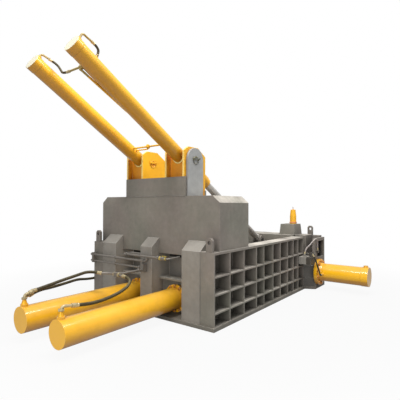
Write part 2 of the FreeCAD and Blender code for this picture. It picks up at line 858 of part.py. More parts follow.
def make_lid_rod(y):
    """Piston, rod and eye, in line with its barrel while the lid is closed."""
    eye_x = rod_span
    piston = rod(V(lid_piston_front - lid_piston_length, 0, 0), X_AXIS,
                 lid_bore_diameter - 4 * fit_gap, lid_piston_length)
    shaft = rod(V(lid_piston_front, 0, 0), X_AXIS, lid_rod_diameter,
                eye_x - lid_piston_front - rod_eye_radius - 6)
    eye = rod(V(eye_x, -rod_eye_width / 2.0, 0), Y_AXIS,
              2 * (rod_eye_radius - rod_eye_relief), rod_eye_width)
    flat = rod_eye_width / 2.0
    tongue = box(eye_x - rod_tongue, eye_x, -flat, flat, -lid_rod_diameter / 2.0,
                 lid_rod_diameter / 2.0)
    hole = rod(V(eye_x, -rod_eye_width, 0), Y_AXIS, rod_pin_diameter + 2 * fit_gap,
               2 * rod_eye_width)
    return on_lid_axis(fuse([piston, shaft, tongue, eye]).cut(hole), y)


# ---------------------------------------------------------------- main ram

def make_main_barrel(y):
    z = main_cylinder_height
    tube = rod(V(main_cap_x, y, z), X_AXIS, main_barrel_diameter, main_barrel_length)
    flange = rod(V(main_front_x - main_flange_thickness, y, z), X_AXIS, main_flange_diameter,
                 main_flange_thickness)
    boss = rod(V(main_cap_x + main_port_inset, y, z), Z_AXIS, main_boss_diameter,
               main_barrel_diameter / 2.0 + main_boss_rise)
    bore = rod(V(main_cap_x + main_cap_thickness, y, z), X_AXIS, main_bore_diameter,
               main_barrel_length)
    return fuse([tube, flange, boss]).cut(bore)


def make_main_gland(y):
    z = main_cylinder_height
    return ring(V(main_front_x - main_gland_length, y, z), X_AXIS,
                main_bore_diameter - 2 * fit_gap, main_rod_diameter + 2 * fit_gap,
                main_gland_length)


def make_main_rod(y):
    z = main_cylinder_height
    piston_x = main_cap_x + main_cap_thickness + main_piston_back
    piston = rod(V(piston_x, y, z), X_AXIS, main_bore_diameter - 2 * fit_gap,
                 main_piston_length)
    shaft = rod(V(piston_x, y, z), X_AXIS, main_rod_diameter, pusher_x0 - piston_x)
    return fuse([piston, shaft])


def make_pusher():
    """A long box with a solid face, open ribs on top and flat runners under it."""
    z0 = floor_top + running_gap
    z1 = z0 + pusher_height
    half = inner_y - side_gap
    body = box(pusher_x0, pusher_x1, -half, half, z0, z1)
    pockets = []
    count_x = pusher_long_bays
    count_y = pusher_cross_bays
    length = (pusher_length - pusher_plate * (count_x + 1)) / count_x
    width = (2 * half - pusher_plate * (count_y + 1)) / count_y
    for i in range(count_x):
        for j in range(count_y):
            x = pusher_x0 + pusher_plate + i * (length + pusher_plate)
            y = -half + pusher_plate + j * (width + pusher_plate)
            pockets.append(box(x, x + length, y, y + width, z1 - pusher_pocket_depth, z1 + 1))
    return cut(body, pockets)


def make_main_bolts():
    x = main_front_x - main_flange_thickness
    heads = []
    for y in (-main_cylinder_y, main_cylinder_y):
        heads.extend(bolt_ring(V(x, y, main_cylinder_height), V(-1, 0, 0), main_bolt_circle,
                               main_bolt_count, big_bolt_across * 0.8, big_bolt_head, 15.0))
    return heads


# ---------------------------------------------------------------- side ram, channel and gate

def make_side_frame():
    """The box at -Y that carries the side cylinder, open at the front above its flange."""
    x0 = channel_x0 + gusset_width
    front = box(x0, far_x, side_frame_y, side_frame_y + side_frame_plate,
                base_thickness, wall_height)
    near_side = box(x0, x0 + side_frame_cheek, side_frame_y + side_frame_plate,
                    side_ram_y1 - side_nose_thickness - running_gap, base_thickness, lid_bottom)
    far_side = box(channel_x1, far_x, side_frame_y + side_frame_plate, -inner_y,
                   base_thickness, flange_top)
    hole = rod(V(side_axis_x, side_frame_y - 1, side_axis_height), Y_AXIS,
               side_rod_hole, side_frame_plate + 2)
    low, high = side_window_heights
    window = box(x0 + side_window_posts[0], far_x - side_window_posts[1], side_frame_y - 1,
                 side_frame_y + side_frame_plate + 1, low, high)
    return cut(fuse([front, near_side, far_side]), [hole, window])


def make_gusset():
    """Slanted shelved panel between the ribbed wall and the side ram's frame."""
    x0 = channel_x0
    x1 = channel_x0 + gusset_width
    y0 = -half_width
    y1 = side_frame_y
    pieces = []
    face = [(x0, y0, base_thickness), (x1, y1, base_thickness), (x1, y1 + gusset_plate, base_thickness),
            (x0, y0 + gusset_plate, base_thickness)]
    pieces.append(plate(face, Z_AXIS, shelf_heights[-1] + gusset_rise - base_thickness))
    share = 1 - gusset_lip / side_frame_reach
    lip_x = x0 + share * (x1 - x0)
    lip_y = y0 + share * (y1 - y0)
    for height in shelf_heights:
        z0 = height - gusset_shelf / 2.0
        lip = [(x0, y0 - gusset_lip, z0), (lip_x, lip_y - gusset_lip, z0),
               (lip_x, lip_y + gusset_plate / 2.0, z0), (x0, y0 + gusset_plate / 2.0, z0)]
        pieces.append(plate(lip, Z_AXIS, gusset_shelf))
    back = [(x0, y0, base_thickness), (x1, y0, base_thickness), (x1, y1, base_thickness)]
    pieces.append(plate(back, Z_AXIS, rib_thickness))
    return fuse(pieces)


side_port = V(side_axis_x - side_barrel_diameter / 2.0 - side_port_reach,
              side_frame_y - side_port_setback, side_axis_height - side_port_drop)


def make_side_barrel():
    """Side cylinder tube with its flange outside the frame and a ported end cap."""
    axis = V(0, -1, 0)
    start = V(side_axis_x, side_frame_y, side_axis_height)
    tube = rod(start, axis, side_barrel_diameter, side_barrel_length)
    flange = rod(start, axis, side_flange_diameter, side_flange_thickness)
    cone_radius = side_bolt_circle / 2.0 - big_bolt_across * 0.6 - 2
    cone = Part.makeCone(cone_radius, side_barrel_diameter / 2.0, side_cone_length,
                         start.add(axis * side_flange_thickness), axis)
    cap = rod(start.add(axis * (side_barrel_length - side_cap_length)), axis,
              side_barrel_diameter + side_cap_step, side_cap_length)
    boss_y = side_frame_y - side_barrel_length + side_cap_length / 2.0
    boss = rod(V(side_axis_x, boss_y, side_axis_height), Z_AXIS, side_boss_diameter,
               side_barrel_diameter / 2.0 + side_boss_rise)
    bore = rod(start.add(axis * (side_barrel_length - side_cap_thickness)), V(0, 1, 0),
               side_bore_diameter, side_barrel_length)
    rod_boss = rod(side_port, X_AXIS, side_port_diameter, side_axis_x - side_port.x)
    return fuse([tube, flange, cone, cap, boss, rod_boss]).cut(bore)


def make_side_gland():
    start = V(side_axis_x, side_frame_y - side_gland_length, side_axis_height)
    return ring(start, Y_AXIS, side_bore_diameter - 2 * fit_gap,
                side_rod_diameter + 2 * fit_gap, side_gland_length)


def make_side_rod():
    start = V(side_axis_x, side_frame_y - side_barrel_length + side_cap_thickness
              + side_piston_back, side_axis_height)
    piston = rod(start, Y_AXIS, side_bore_diameter - 2 * fit_gap, side_piston_length)
    shaft = rod(start, Y_AXIS, side_rod_diameter, side_ram_y0 - start.y)
    return fuse([piston, shaft])


def make_side_ram():
    """The block that squeezes the bale along the channel, its face flush with the wall."""
    z0 = floor_top + running_gap
    body = box(channel_x0 + gusset_width + side_frame_cheek + side_gap, channel_x1 - side_gap,
               side_ram_y0, side_ram_y1, z0, z0 + side_ram_height)
    nose = box(channel_x0 + side_gap, channel_x1 - side_gap, side_ram_y1 - side_nose_thickness,
               side_ram_y1, z0, z0 + side_ram_height)
    return fuse([body, nose])


def make_side_bolts():
    y = side_frame_y - side_flange_thickness
    return bolt_ring(V(side_axis_x, y, side_axis_height), V(0, -1, 0), side_bolt_circle,
                     side_bolt_count, big_bolt_across, big_bolt_head, 18.0)


def make_end_wall():
    """Cross wall at the far end: a thick plate with upright ribs behind it."""
    back_x = channel_x1 + end_wall_plate
    face = box(channel_x1, back_x, -inner_y, half_width, base_thickness, wall_height)
    pieces = [face, box(channel_x1, far_x, -inner_y, half_width, wall_height, flange_top)]
    for i in range(end_wall_bays + 1):
        y = -inner_y + (half_width + inner_y - rib_thickness) * i / end_wall_bays
        pieces.append(box(back_x, far_x, y, y + rib_thickness,
                          base_thickness, wall_height))
    for height in shelf_heights:
        pieces.append(box(back_x, far_x, -inner_y, half_width,
                          height - rib_thickness / 2.0, height + rib_thickness / 2.0))
    return fuse(pieces)


def make_channel_cover():
    """Fixed beam over the channel, with the pocket of the lid's lock."""
    body = box(channel_x0, channel_x1, -inner_y, inner_y, lid_bottom, cover_top)
    wing = box(channel_x0 + gusset_width, channel_x1, -half_width, -inner_y, lid_bottom,
               cover_top)
    hole = rod(V(lock_axis_x, lock_y, bolt_z0), Z_AXIS, lock_pin_diameter + 2 * fit_gap,
               cover_top - bolt_z0 + 1)
    half_bolt = bolt_size[0] / 2.0 + running_gap
    slot = box(channel_x0 - 1, lock_axis_x, lock_y - half_bolt, lock_y + half_bolt,
               bolt_z0 - running_gap, bolt_z1 + running_gap)
    room = box(lock_axis_x - wedge_reach - 4, lock_axis_x + wedge_tail + 4,
               lock_y - half_bolt, lock_y + half_bolt,
               wedge_z0 - bolt_travel - lock_pocket_gap, wedge_z1 + lock_pocket_gap)
    return cut(fuse([body, wing]), [hole, slot, room])


gate_y0 = inner_y + gate_setback
gate_y1 = gate_y0 + gate_plate
gate_top = lid_bottom
gate_frame_top = gate_top + gate_lug_height + gate_travel + 12
outlet_x0 = channel_x0 + gate_guide_width / 2.0
outlet_x1 = channel_x1 - gate_guide_width / 2.0


def make_gate():
    half_pitch = (channel_width - 2 * running_gap) / 2.0
    middle = (channel_x0 + channel_x1) / 2.0
    slab = box(middle - half_pitch, middle + half_pitch, gate_y0, gate_y1, floor_top + 4,
               gate_top)
    lug = box(middle - gate_lug_width / 2.0, middle + gate_lug_width / 2.0,
              gate_y0 + gate_lug_inset, gate_y1 - gate_lug_inset, gate_top,
              gate_top + gate_lug_height)
    return fuse([slab, lug])


def make_gate_frame():
    """Guides each side of the gate and the portal that carries its lift cylinder."""
    middle = (channel_x0 + channel_x1) / 2.0
    pieces = []
    sill = box(channel_x0, channel_x1, inner_y, half_width, base_thickness, floor_top)
    pieces.append(sill)
    for x_out, x_in in ((channel_x0, outlet_x0), (channel_x1, outlet_x1)):
        x0 = min(x_out, x_in)
        x1 = max(x_out, x_in)
        pieces.append(box(x0, x1, inner_y, gate_y0 - running_gap, floor_top, gate_frame_top))
        pieces.append(box(x0, x1, gate_y1 + running_gap, half_width, floor_top,
                          gate_frame_top))
    head = box(channel_x0, channel_x1, inner_y, half_width, gate_frame_top,
               gate_frame_top + gate_crosshead)
    hole = rod(V(middle, (gate_y0 + gate_y1) / 2.0, gate_frame_top - 1), Z_AXIS,
               gate_rod_diameter + 2 * fit_gap, gate_crosshead + 2)
    return fuse(pieces + [head]).cut(hole)


def gate_axis(z):
    return V((channel_x0 + channel_x1) / 2.0, (gate_y0 + gate_y1) / 2.0, z)


gate_barrel_z = gate_frame_top + gate_crosshead
gate_barrel_length = gate_travel + gate_cylinder_spare
gate_bore_diameter = gate_cylinder_diameter - 2 * gate_cylinder_wall


def make_gate_barrel():
    tube = rod(gate_axis(gate_barrel_z), Z_AXIS, gate_cylinder_diameter, gate_barrel_length)
    foot = rod(gate_axis(gate_barrel_z), Z_AXIS, gate_cylinder_diameter + gate_foot_step,
               gate_foot_height)
    bore = rod(gate_axis(gate_barrel_z), Z_AXIS, gate_bore_diameter,
               gate_barrel_length - gate_cylinder_cap)
    return fuse([tube, foot]).cut(bore)


def make_gate_rod():
    bottom = gate_top + gate_lug_height
    shaft = rod(gate_axis(bottom), Z_AXIS, gate_rod_diameter, gate_barrel_z + 30 - bottom)
    piston = rod(gate_axis(gate_barrel_z + 3), Z_AXIS,
                 gate_bore_diameter - 2 * fit_gap, gate_piston_length)
    return fuse([shaft, piston])


def make_lock_mount():
    """Tapered pedestal that carries the lock cylinder over the channel."""
    height = lock_mount_top - cover_top
    wires = []
    for size, z in ((lock_mount_size, cover_top), (lock_mount_top_size, lock_mount_top)):
        x0 = lock_axis_x - lock_mount_offset - size[0] / 2.0
        y0 = lock_y + lock_mount_side - size[1] / 2.0
        corners = [V(x0, y0, z), V(x0 + size[0], y0, z), V(x0 + size[0], y0 + size[1], z),
                   V(x0, y0 + size[1], z)]
        wires.append(Part.makePolygon(corners + [corners[0]]))
    body = Part.makeLoft(wires, True, True)
    hole = rod(V(lock_axis_x, lock_y, cover_top - 1), Z_AXIS,
               lock_pin_diameter + 2 * fit_gap, height + 2)
    return body.cut(hole)


def make_lock_barrel():
    base = V(lock_axis_x, lock_y, lock_mount_top)
    straight = bolt_travel + lock_barrel_spare
    tube = rod(base, Z_AXIS, lock_barrel_diameter, straight)
    taper = Part.makeCone(lock_barrel_diameter / 2.0, lock_barrel_top / 2.0,
                          lock_barrel_length - straight, base.add(V(0, 0, straight)), Z_AXIS)
    foot = rod(base, Z_AXIS, lock_barrel_diameter + lock_foot_step, lock_foot_height)
    tip = rod(base.add(V(0, 0, lock_barrel_length)), Z_AXIS, lock_tip_diameter,
              lock_tip_height)
    bore = rod(base.add(V(0, 0, -1)), Z_AXIS, lock_bore_diameter, straight)
    return fuse([tube, taper, foot, tip]).cut(bore)


def make_lock_wedge():
    """The lock cylinder's rod with the wedge that drives the bolt, drawn up."""
    rise = wedge_z1 - wedge_z0
    outline = [
        (lock_axis_x + wedge_tail, lock_y - wedge_width / 2.0, wedge_z0),
        (lock_axis_x + wedge_tail, lock_y - wedge_width / 2.0, wedge_z1),
        (lock_axis_x - wedge_reach, lock_y - wedge_width / 2.0, wedge_z1),
        (lock_axis_x - wedge_reach + rise, lock_y - wedge_width / 2.0, wedge_z0),
    ]
    block = plate(outline, Y_AXIS, wedge_width)
    piston_z = lock_mount_top + bolt_travel + lock_piston_gap
    shaft = rod(V(lock_axis_x, lock_y, wedge_z1 - 1), Z_AXIS, lock_pin_diameter,
                piston_z + lock_piston_length / 2.0 - wedge_z1)
    piston = rod(V(lock_axis_x, lock_y, piston_z), Z_AXIS,
                 lock_bore_diameter - 2 * fit_gap, lock_piston_length)
    return fuse([block, shaft, piston])


def make_lid_bolt():
    """The bolt that slides out over the lid's far edge, its tail cut to the wedge's slope."""
    y0 = lock_y - bolt_size[0] / 2.0
    face_x = lock_axis_x - wedge_reach + (wedge_z1 - bolt_z0) - 1.5 * running_gap
    outline = [
        (channel_x0 + bolt_inset, y0, bolt_z0),
        (channel_x0 + bolt_inset, y0, bolt_z1),
        (face_x - (bolt_z1 - bolt_z0), y0, bolt_z1),
        (face_x, y0, bolt_z0),
    ]
    return plate(outline, Y_AXIS, bolt_size[0])


# ---------------------------------------------------------------- pipes, valve block and hoses

pipe_x = near_x - pipe_standoff
middle_post_y0 = -post_widths[1] / 2.0
middle_post_y1 = post_widths[1] / 2.0
wall_pipe_y = half_width + wall_pipe_gap
tee_x = near_x - tee_reach


def unit(x, y, z):
    """Direction of unit length."""
    direction = V(x, y, z)
    return direction.normalize()


def hose_points(start, start_way, start_run, end, end_way, end_run, steps):
    """Corner points of a hose that leaves both fittings straight. Each step lies at a share of
    the way between the two inner ends, moved sideways along Y and up."""
    first = start.add(start_way * start_run)
    last = end.add(end_way * end_run)
    points = [start, first]
    for share, side, up in steps:
        points.append(first.add(last.sub(first) * share).add(V(0, side, up)))
    return points + [last, end]


def make_end_pipes():
    """Hard pipes in front of the end posts, with the tee of the main cylinders' hoses."""
    back_x = near_x + pipe_return
    end_y, rise = upper_pipe_end
    upper = pipe([V(back_x, wall_pipe_y, upper_pipe_height),
                  V(pipe_x, wall_pipe_y, upper_pipe_height),
                  V(pipe_x, end_y, upper_pipe_height),
                  V(pipe_x, end_y, upper_pipe_height + rise)], pipe_diameter, pipe_bend)
    lower = pipe([V(back_x, wall_pipe_y, lower_pipe_height),
                  V(pipe_x, wall_pipe_y, lower_pipe_height),
                  V(pipe_x, manifold_y[1], lower_pipe_height)], small_pipe_diameter, pipe_bend)
    start_y, valve_y = top_pipe_y
    top = pipe([V(near_x + top_pipe_return, start_y, top_pipe_height),
                V(pipe_x, start_y, top_pipe_height), V(pipe_x, valve_y, top_pipe_height)],
               pipe_diameter, top_pipe_bend)
    valve = rod(V(pipe_x, valve_y, top_pipe_height), V(0, -1, 0),
                pipe_diameter + stop_valve_step, stop_valve_length)
    outlet_y = valve_y - stop_valve_length
    outlet = pipe([V(pipe_x, outlet_y, top_pipe_height),
                   V(pipe_x, outlet_y - outlet_run, top_pipe_height),
                   V(back_x, outlet_y - outlet_run - outlet_step[0],
                     top_pipe_height + outlet_step[1])], small_pipe_diameter, lid_stub_bend)
    short = rod(V(near_x + short_pipe_setback, middle_post_y1,
                  top_pipe_height + short_pipe_rise), Y_AXIS, pipe_diameter, short_pipe_length)
    front_x = pipe_x - manifold_front
    block = box(front_x, near_x, manifold_y[0], manifold_y[1],
                feed_pipe_height - manifold_drop,
                upper_pipe_height - pipe_diameter / 2.0 - manifold_gap)
    block = block.cut(rod(V(pipe_x, manifold_y[1] - 1, lower_pipe_height), Y_AXIS,
                          small_pipe_diameter, 4))
    half = tee_size / 2.0
    feed = rod(V(front_x, tee_y, feed_pipe_height), V(-1, 0, 0), pipe_diameter,
               front_x - tee_x - half)
    tee = box(tee_x - half, tee_x + half, tee_y - half, tee_y + half,
              feed_pipe_height - half, feed_pipe_height + half)
    left_arm = pipe([V(tee_x, tee_y + half, feed_pipe_height), left_arm_corner,
                     left_hose_end], pipe_diameter, tee_arm_bend)
    right_arm = rod(right_hose_end, right_arm_way * -1, pipe_diameter,
                    right_hose_end_reach + 12)
    clamp = box(pipe_x - corner_clamp_width / 2.0, near_x,
                half_width - corner_clamp_y[0], half_width - corner_clamp_y[1],
                lower_pipe_height - corner_clamp_ends[0],
                upper_pipe_height + corner_clamp_ends[1])
    clamp = clamp.cut(group([upper, lower]))
    return [fuse([upper, top, valve, outlet]), lower, clamp, short, block,
            fuse([feed, tee, left_arm, right_arm])]


left_arm_way = unit(-0.7, 0.71, 0.05)
left_arm_corner = V(tee_x, tee_y + tee_size / 2.0 + tee_arm_run, feed_pipe_height)
left_hose_end = left_arm_corner.add(left_arm_way * tee_arm_end)
right_arm_way = unit(0.13, -0.985, -0.107)
right_hose_end_reach = 95
right_hose_end = V(tee_x, tee_y - tee_size / 2.0, feed_pipe_height).add(
    right_arm_way * right_hose_end_reach)

cap_port_x = main_cap_x + main_port_inset
cap_port_z = main_cylinder_height + main_barrel_diameter / 2.0 + main_boss_rise
left_cap_way = unit(0.962, 0, 0.272)
right_cap_way = unit(0.985, 0.054, -0.163)
left_elbow = V(cap_port_x, main_cylinder_y, cap_port_z + elbow_rise)
right_elbow = V(cap_port_x, -main_cylinder_y, cap_port_z + elbow_rise)
left_cap_start = left_elbow.add(left_cap_way * elbow_reach)
right_cap_start = right_elbow.add(right_cap_way * (elbow_reach + right_elbow_extra))
wall_hose_way = unit(0.887, 0.461, 0.024)
wall_hose_branch = left_elbow.sub(V(0, 0, branch_drop))
wall_hose_start = wall_hose_branch.add(wall_hose_way * branch_length)
wall_hose_y = half_width + hose_diameter / 2.0 + wall_hose_gap
wall_hose_end = V(near_x + wall_hose_setback, wall_hose_y, wall_hose_height)


def make_cap_fittings():
    """Tapered necks and elbows on the main cylinders' cap ends, and the pipe on the wall."""
    solids = []
    for corner, start in ((left_elbow, left_cap_start), (right_elbow, right_cap_start)):
        foot = V(corner.x, corner.y, cap_port_z)
        neck = Part.makeCone(neck_foot_diameter / 2.0, (pipe_diameter + neck_top_step) / 2.0,
                             neck_height, foot)
        bend = pipe([foot.add(V(0, 0, neck_height)), corner, start], pipe_diameter,
                    elbow_bend)
        collar = rod(start, corner.sub(start).normalize(), pipe_diameter + collar_step,
                     collar_length)
        solids.append(fuse([neck, bend, collar]))
    branch = rod(wall_hose_branch, wall_hose_way, branch_diameter, branch_length)
    solids[0] = fuse([solids[0], branch])
    line = rod(wall_hose_end, X_AXIS, pipe_diameter, wall_pipe_length)
    width, depth, height = wall_clamp
    clamps = [box(x - width / 2.0, x + width / 2.0, half_width, half_width + depth,
                  wall_hose_height - height / 2.0, wall_hose_height + height / 2.0)
              for x in (near_x + rib_bays[0], near_x + rib_bays[0] + rib_bays[1])]
    solids.append(fuse([line] + clamps))
    return solids


valve_x = near_x + valve_setback
valve_top = valve_bottom + valve_size[2]
arch_way = unit(0.25, -0.1, 0.96)
arch_corner = V(valve_x + relief_place[0], -half_width - relief_place[1],
                valve_top + relief_place[2])
arch_start = arch_corner.add(arch_way * relief_reach)
arch_end = V(channel_x0 + gusset_width + 52, side_frame_y - 28, arch_end_height)
drop_way = unit(-0.1, -0.62, -0.78)
drop_start = V(valve_x + drop_place[0], -half_width - valve_size[1], valve_top + drop_place[1])


def make_valve_block():
    """Valve block on the wall beside the gusset, its two pipes and a landing on the frame."""
    y0 = -half_width - valve_size[1]
    body = box(valve_x, valve_x + valve_size[0], y0, -half_width, valve_bottom, valve_top)
    plugs = [rod(V(valve_x + x, y0 + y, valve_top), Z_AXIS, *valve_plug)
             for x, y in valve_plug_places]
    relief = pipe([V(arch_corner.x, arch_corner.y, valve_top), arch_corner, arch_start],
                  small_pipe_diameter, lid_stub_bend)
    corner = drop_start.sub(drop_way * drop_reach)
    drop = pipe([V(corner.x, corner.y + drop_leg, valve_top),
                 V(corner.x, corner.y + drop_leg, corner.z), corner, drop_start],
                small_pipe_diameter, 20)
    width, height = arch_landing
    landing = box(arch_end.x - width / 2.0, arch_end.x + width / 2.0, side_frame_y - height,
                  side_frame_y, arch_end.z - height, arch_end.z)
    return [fuse([body] + plugs), relief, drop, landing]


lid_feed_way = unit(0.83, -0.54, -0.12)
lid_feed_corner = (-lid_port_back, lid_cylinder_y, lid_boss_top + lid_feed_rise)
lid_stub_end = (-lid_port_back + lid_stub_run, -lid_cylinder_y,
                lid_boss_top + lid_stub_rise[1])


def along_lid(start, way, reach):
    """A point in a lid cylinder's own directions, reach away from start."""
    return tuple(start[i] + way[i] * reach for i in range(3))


def lid_path(points):
    return [lid_point(*p) for p in points]


def make_lid_pipes():
    """Hard pipes that ride on the lid cylinders."""
    y = lid_cylinder_y
    left_stub = pipe(lid_path([(-lid_port_back, y, lid_boss_top), lid_feed_corner,
                               along_lid(lid_feed_corner, lid_feed_way, lid_feed_run)]),
                     small_pipe_diameter, lid_feed_bend)
    right_stub = pipe(lid_path([(-lid_port_back, -y, lid_boss_top),
                                (-lid_port_back, -y, lid_boss_top + lid_stub_rise[0]),
                                lid_stub_end]), small_pipe_diameter, lid_stub_bend)
    landing = on_lid_axis(rod(V(-lid_landing_back, 0, 0), Z_AXIS, lid_landing_diameter,
                              lid_boss_top), -y)
    cross_feed = pipe(lid_path([(-lid_tee_back, lid_hose_end_y, -lid_pipe_drop),
                                (-lid_tee_back, -y, -lid_pipe_drop)]), small_pipe_diameter, 0)
    tee_reach_y = lid_barrel_diameter / 2.0 + lid_tee_y[1]
    tee = on_lid_axis(box(-lid_tee_back - lid_tee_length / 2.0,
                          -lid_tee_back + lid_tee_length / 2.0, lid_tee_y[0], tee_reach_y,
                          -lid_pipe_drop - lid_tee_height / 2.0,
                          -lid_pipe_drop + lid_tee_height / 2.0), -y)
    corners = [(-back, -y + side, above) for back, side, above in thin_pipe_way]
    thin = pipe(lid_path([(-lid_tee_back + lid_tee_length / 2.0,
                           -y + tee_reach_y - lid_tee_length / 2.0, -lid_pipe_drop)]
                         + corners + [(-cross_back, -y + thin_pipe_y, cross_rise)]),
                thin_pipe_diameter, thin_pipe_bend)
    cross = pipe(lid_path([(-cross_back, y, cross_rise), (-cross_back, -y, cross_rise)]),
                 small_pipe_diameter, 0)
    middle = cross_back + loop_y[1]
    loop = pipe(lid_path([(-loop_back, y, loop_rise), (-loop_back, loop_y[0], loop_rise),
                          (-cross_back + loop_y[1], loop_y[1], cross_rise + 2)]),
                thin_pipe_diameter, lid_stub_bend)
    length, width, height = cross_tee
    middle_tee = on_lid_axis(box(-middle - 2, -middle - 2 + length, loop_y[1] - width,
                                 loop_y[1], cross_rise - height / 2.0,
                                 cross_rise + height / 2.0), 0)
    up, back, top = rod_elbow
    elbows = [pipe(lid_path([(lid_rod_port, side * y, lid_boss_top),
                             (lid_rod_port, side * y, lid_boss_top + up),
                             (lid_rod_port - back, side * y, lid_boss_top + top)]),
                   small_pipe_diameter, rod_elbow_bend) for side in (-1, 1)]
    feed = fuse([cross_feed, tee, thin, cross, loop, middle_tee])
    room = group([on_lid_axis(rod(V(-lid_barrel_back, 0, 0), X_AXIS, lid_barrel_diameter,
                                  lid_barrel_back + lid_barrel_front), side * y)
                  for side in (-1, 1)])
    return [left_stub, right_stub, landing.cut(room), feed.cut(room)] + elbows


parts["base_frame"] = make_base()
parts["chamber_floor"] = make_floor()
parts["right_side_wall"] = make_side_wall()
parts["left_side_wall"] = mirrored(parts["right_side_wall"])
parts["end_posts"] = group([make_post(-inner_y, -inner_y + post_widths[0]),
                            make_post(middle_post_y0, middle_post_y1),
                            make_post(inner_y - post_widths[2], inner_y)])
parts["bulkhead"] = make_bulkhead()
parts["cylinder_seats"] = group([
    make_cylinder_seat(-inner_y + post_widths[0], middle_post_y0, -main_cylinder_y),
    make_cylinder_seat(middle_post_y1, inner_y - post_widths[2], main_cylinder_y)])
parts["lift_lugs"] = group(make_lift_lugs())
parts["tower"] = make_tower()
parts["trunnion_shield"] = make_shield()
trunnion_lug = make_trunnion_lug()
parts["trunnion_lugs"] = group([trunnion_lug, mirrored(trunnion_lug)])
parts["bracket_plates"] = group([make_bracket(y) for y in (
    -bracket_outer_y - bracket_thickness, -bracket_inner_y - bracket_thickness,
    bracket_inner_y, bracket_outer_y)])
keeper_bars, keeper_bolts = make_keepers()
parts["trunnion_keepers"] = group(keeper_bars + keeper_bolts)
parts["hinge_beam"] = make_hinge_beam()
parts["hinge_pin"] = make_hinge_pin()
parts["lid_panel"] = make_lid()
parts["lid_lugs"] = group(make_lid_arms() + make_rod_lugs())
for name, y in (("right", -lid_cylinder_y), ("left", lid_cylinder_y)):
    parts[name + "_lid_barrel"] = make_lid_barrel(y)
    parts[name + "_trunnion_saddle"] = make_saddle(y)
    parts[name + "_lid_rod"] = make_lid_rod(y)
parts["rod_pins"] = group([make_rod_pin(-lid_cylinder_y), make_rod_pin(lid_cylinder_y)])
parts["lid_glands"] = group([make_lid_gland(-lid_cylinder_y), make_lid_gland(lid_cylinder_y)])
parts["lid_pipes"] = group(make_lid_pipes())
for name, y in (("right", -main_cylinder_y), ("left", main_cylinder_y)):
    parts[name + "_main_barrel"] = make_main_barrel(y)
    parts[name + "_main_rod"] = make_main_rod(y)
parts["main_glands"] = group([make_main_gland(-main_cylinder_y),
                              make_main_gland(main_cylinder_y)])
parts["main_bolts"] = group(make_main_bolts())
parts["pusher"] = make_pusher()
parts["side_frame"] = make_side_frame()
parts["gusset"] = make_gusset()
parts["side_barrel"] = make_side_barrel()
parts["side_gland"] = make_side_gland()
parts["side_bolts"] = group(make_side_bolts())
parts["side_rod"] = make_side_rod()
parts["side_ram"] = make_side_ram()
parts["end_wall"] = make_end_wall()
parts["channel_cover"] = make_channel_cover()
parts["gate"] = make_gate()
parts["gate_frame"] = make_gate_frame()
parts["gate_barrel"] = make_gate_barrel()
parts["gate_rod"] = make_gate_rod()
parts["lock_mount"] = make_lock_mount()
parts["lock_barrel"] = make_lock_barrel()
parts["lock_wedge"] = make_lock_wedge()
parts["lid_bolt"] = make_lid_bolt()
parts["end_pipes"] = group(make_end_pipes())
parts["cap_fittings"] = group(make_cap_fittings())
parts["valve_block"] = group(make_valve_block())

parts["left_cap_hose"] = hose("left_cap_hose", hose_points(
    left_cap_start, left_cap_way, 177, left_hose_end, left_arm_way, 156,
    ((0.352, 8, 30), (0.719, 11, 37))), hose_diameter)
parts["right_cap_hose"] = hose("right_cap_hose", hose_points(
    right_cap_start, right_cap_way, 203, right_hose_end, right_arm_way, 112,
    ((0.345, -34, -54), (0.669, -61, -73), (0.912, -66, -56))), hose_diameter)
parts["wall_hose"] = hose("wall_hose", hose_points(
    wall_hose_start, wall_hose_way, 169, wall_hose_end, V(-1, 0, 0), 170,
    ((0.206, 0, 11), (0.486, -29, 3), (0.763, 12, -12))), hose_diameter)
parts["arch_hose"] = hose("arch_hose", hose_points(
    arch_start, arch_way, 90, arch_end, Z_AXIS, 110,
    ((0.25, -30, 60), (0.60, -40, 150), (0.94, -8, 108))), thin_hose_diameter)
parts["drop_hose"] = hose("drop_hose", hose_points(
    drop_start, drop_way, 100, side_port, V(-1, 0, 0), 90,
    ((0.40, 5, 0), (0.75, -10, 5))), lid_hose_diameter)
lid_hose_start = along_lid(lid_feed_corner, lid_feed_way, lid_feed_run)
parts["left_lid_hose"] = hose("left_lid_hose", lid_path([
    lid_hose_start, along_lid(lid_hose_start, lid_feed_way, 100), (-2022, 190, 52),
    (-lid_tee_back, lid_hose_end_y + 140, -lid_pipe_drop),
    (-lid_tee_back, lid_hose_end_y, -lid_pipe_drop)]), lid_hose_diameter)
parts["right_lid_hose"] = hose("right_lid_hose", lid_path([
    lid_stub_end,
    (-lid_port_back + 217.5, -lid_cylinder_y, lid_boss_top + 115),
    (-lid_landing_back, -lid_cylinder_y, lid_boss_top + 76),
    (-lid_landing_back, -lid_cylinder_y, lid_boss_top)]), lid_hose_diameter)

for name, shape in parts.items():
    shape.exportStep("parts/%s.step" % name)
print("nodes %d, hinge x %.3f z %.3f, trunnion x %.3f z %.3f, pin x %.3f z %.3f" % (
    len(parts), hinge.x, hinge.z, trunnion.x, trunnion.z, rod_pin.x, rod_pin.z))
print("lid slope %.3f, rod span %.3f, valid %s" % (
    lid_slope_deg, rod_span, all(shape.isValid() for shape in parts.values())))
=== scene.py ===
import json
import math
from collections import namedtuple

import bmesh
import bpy
from mathutils import Matrix, Vector


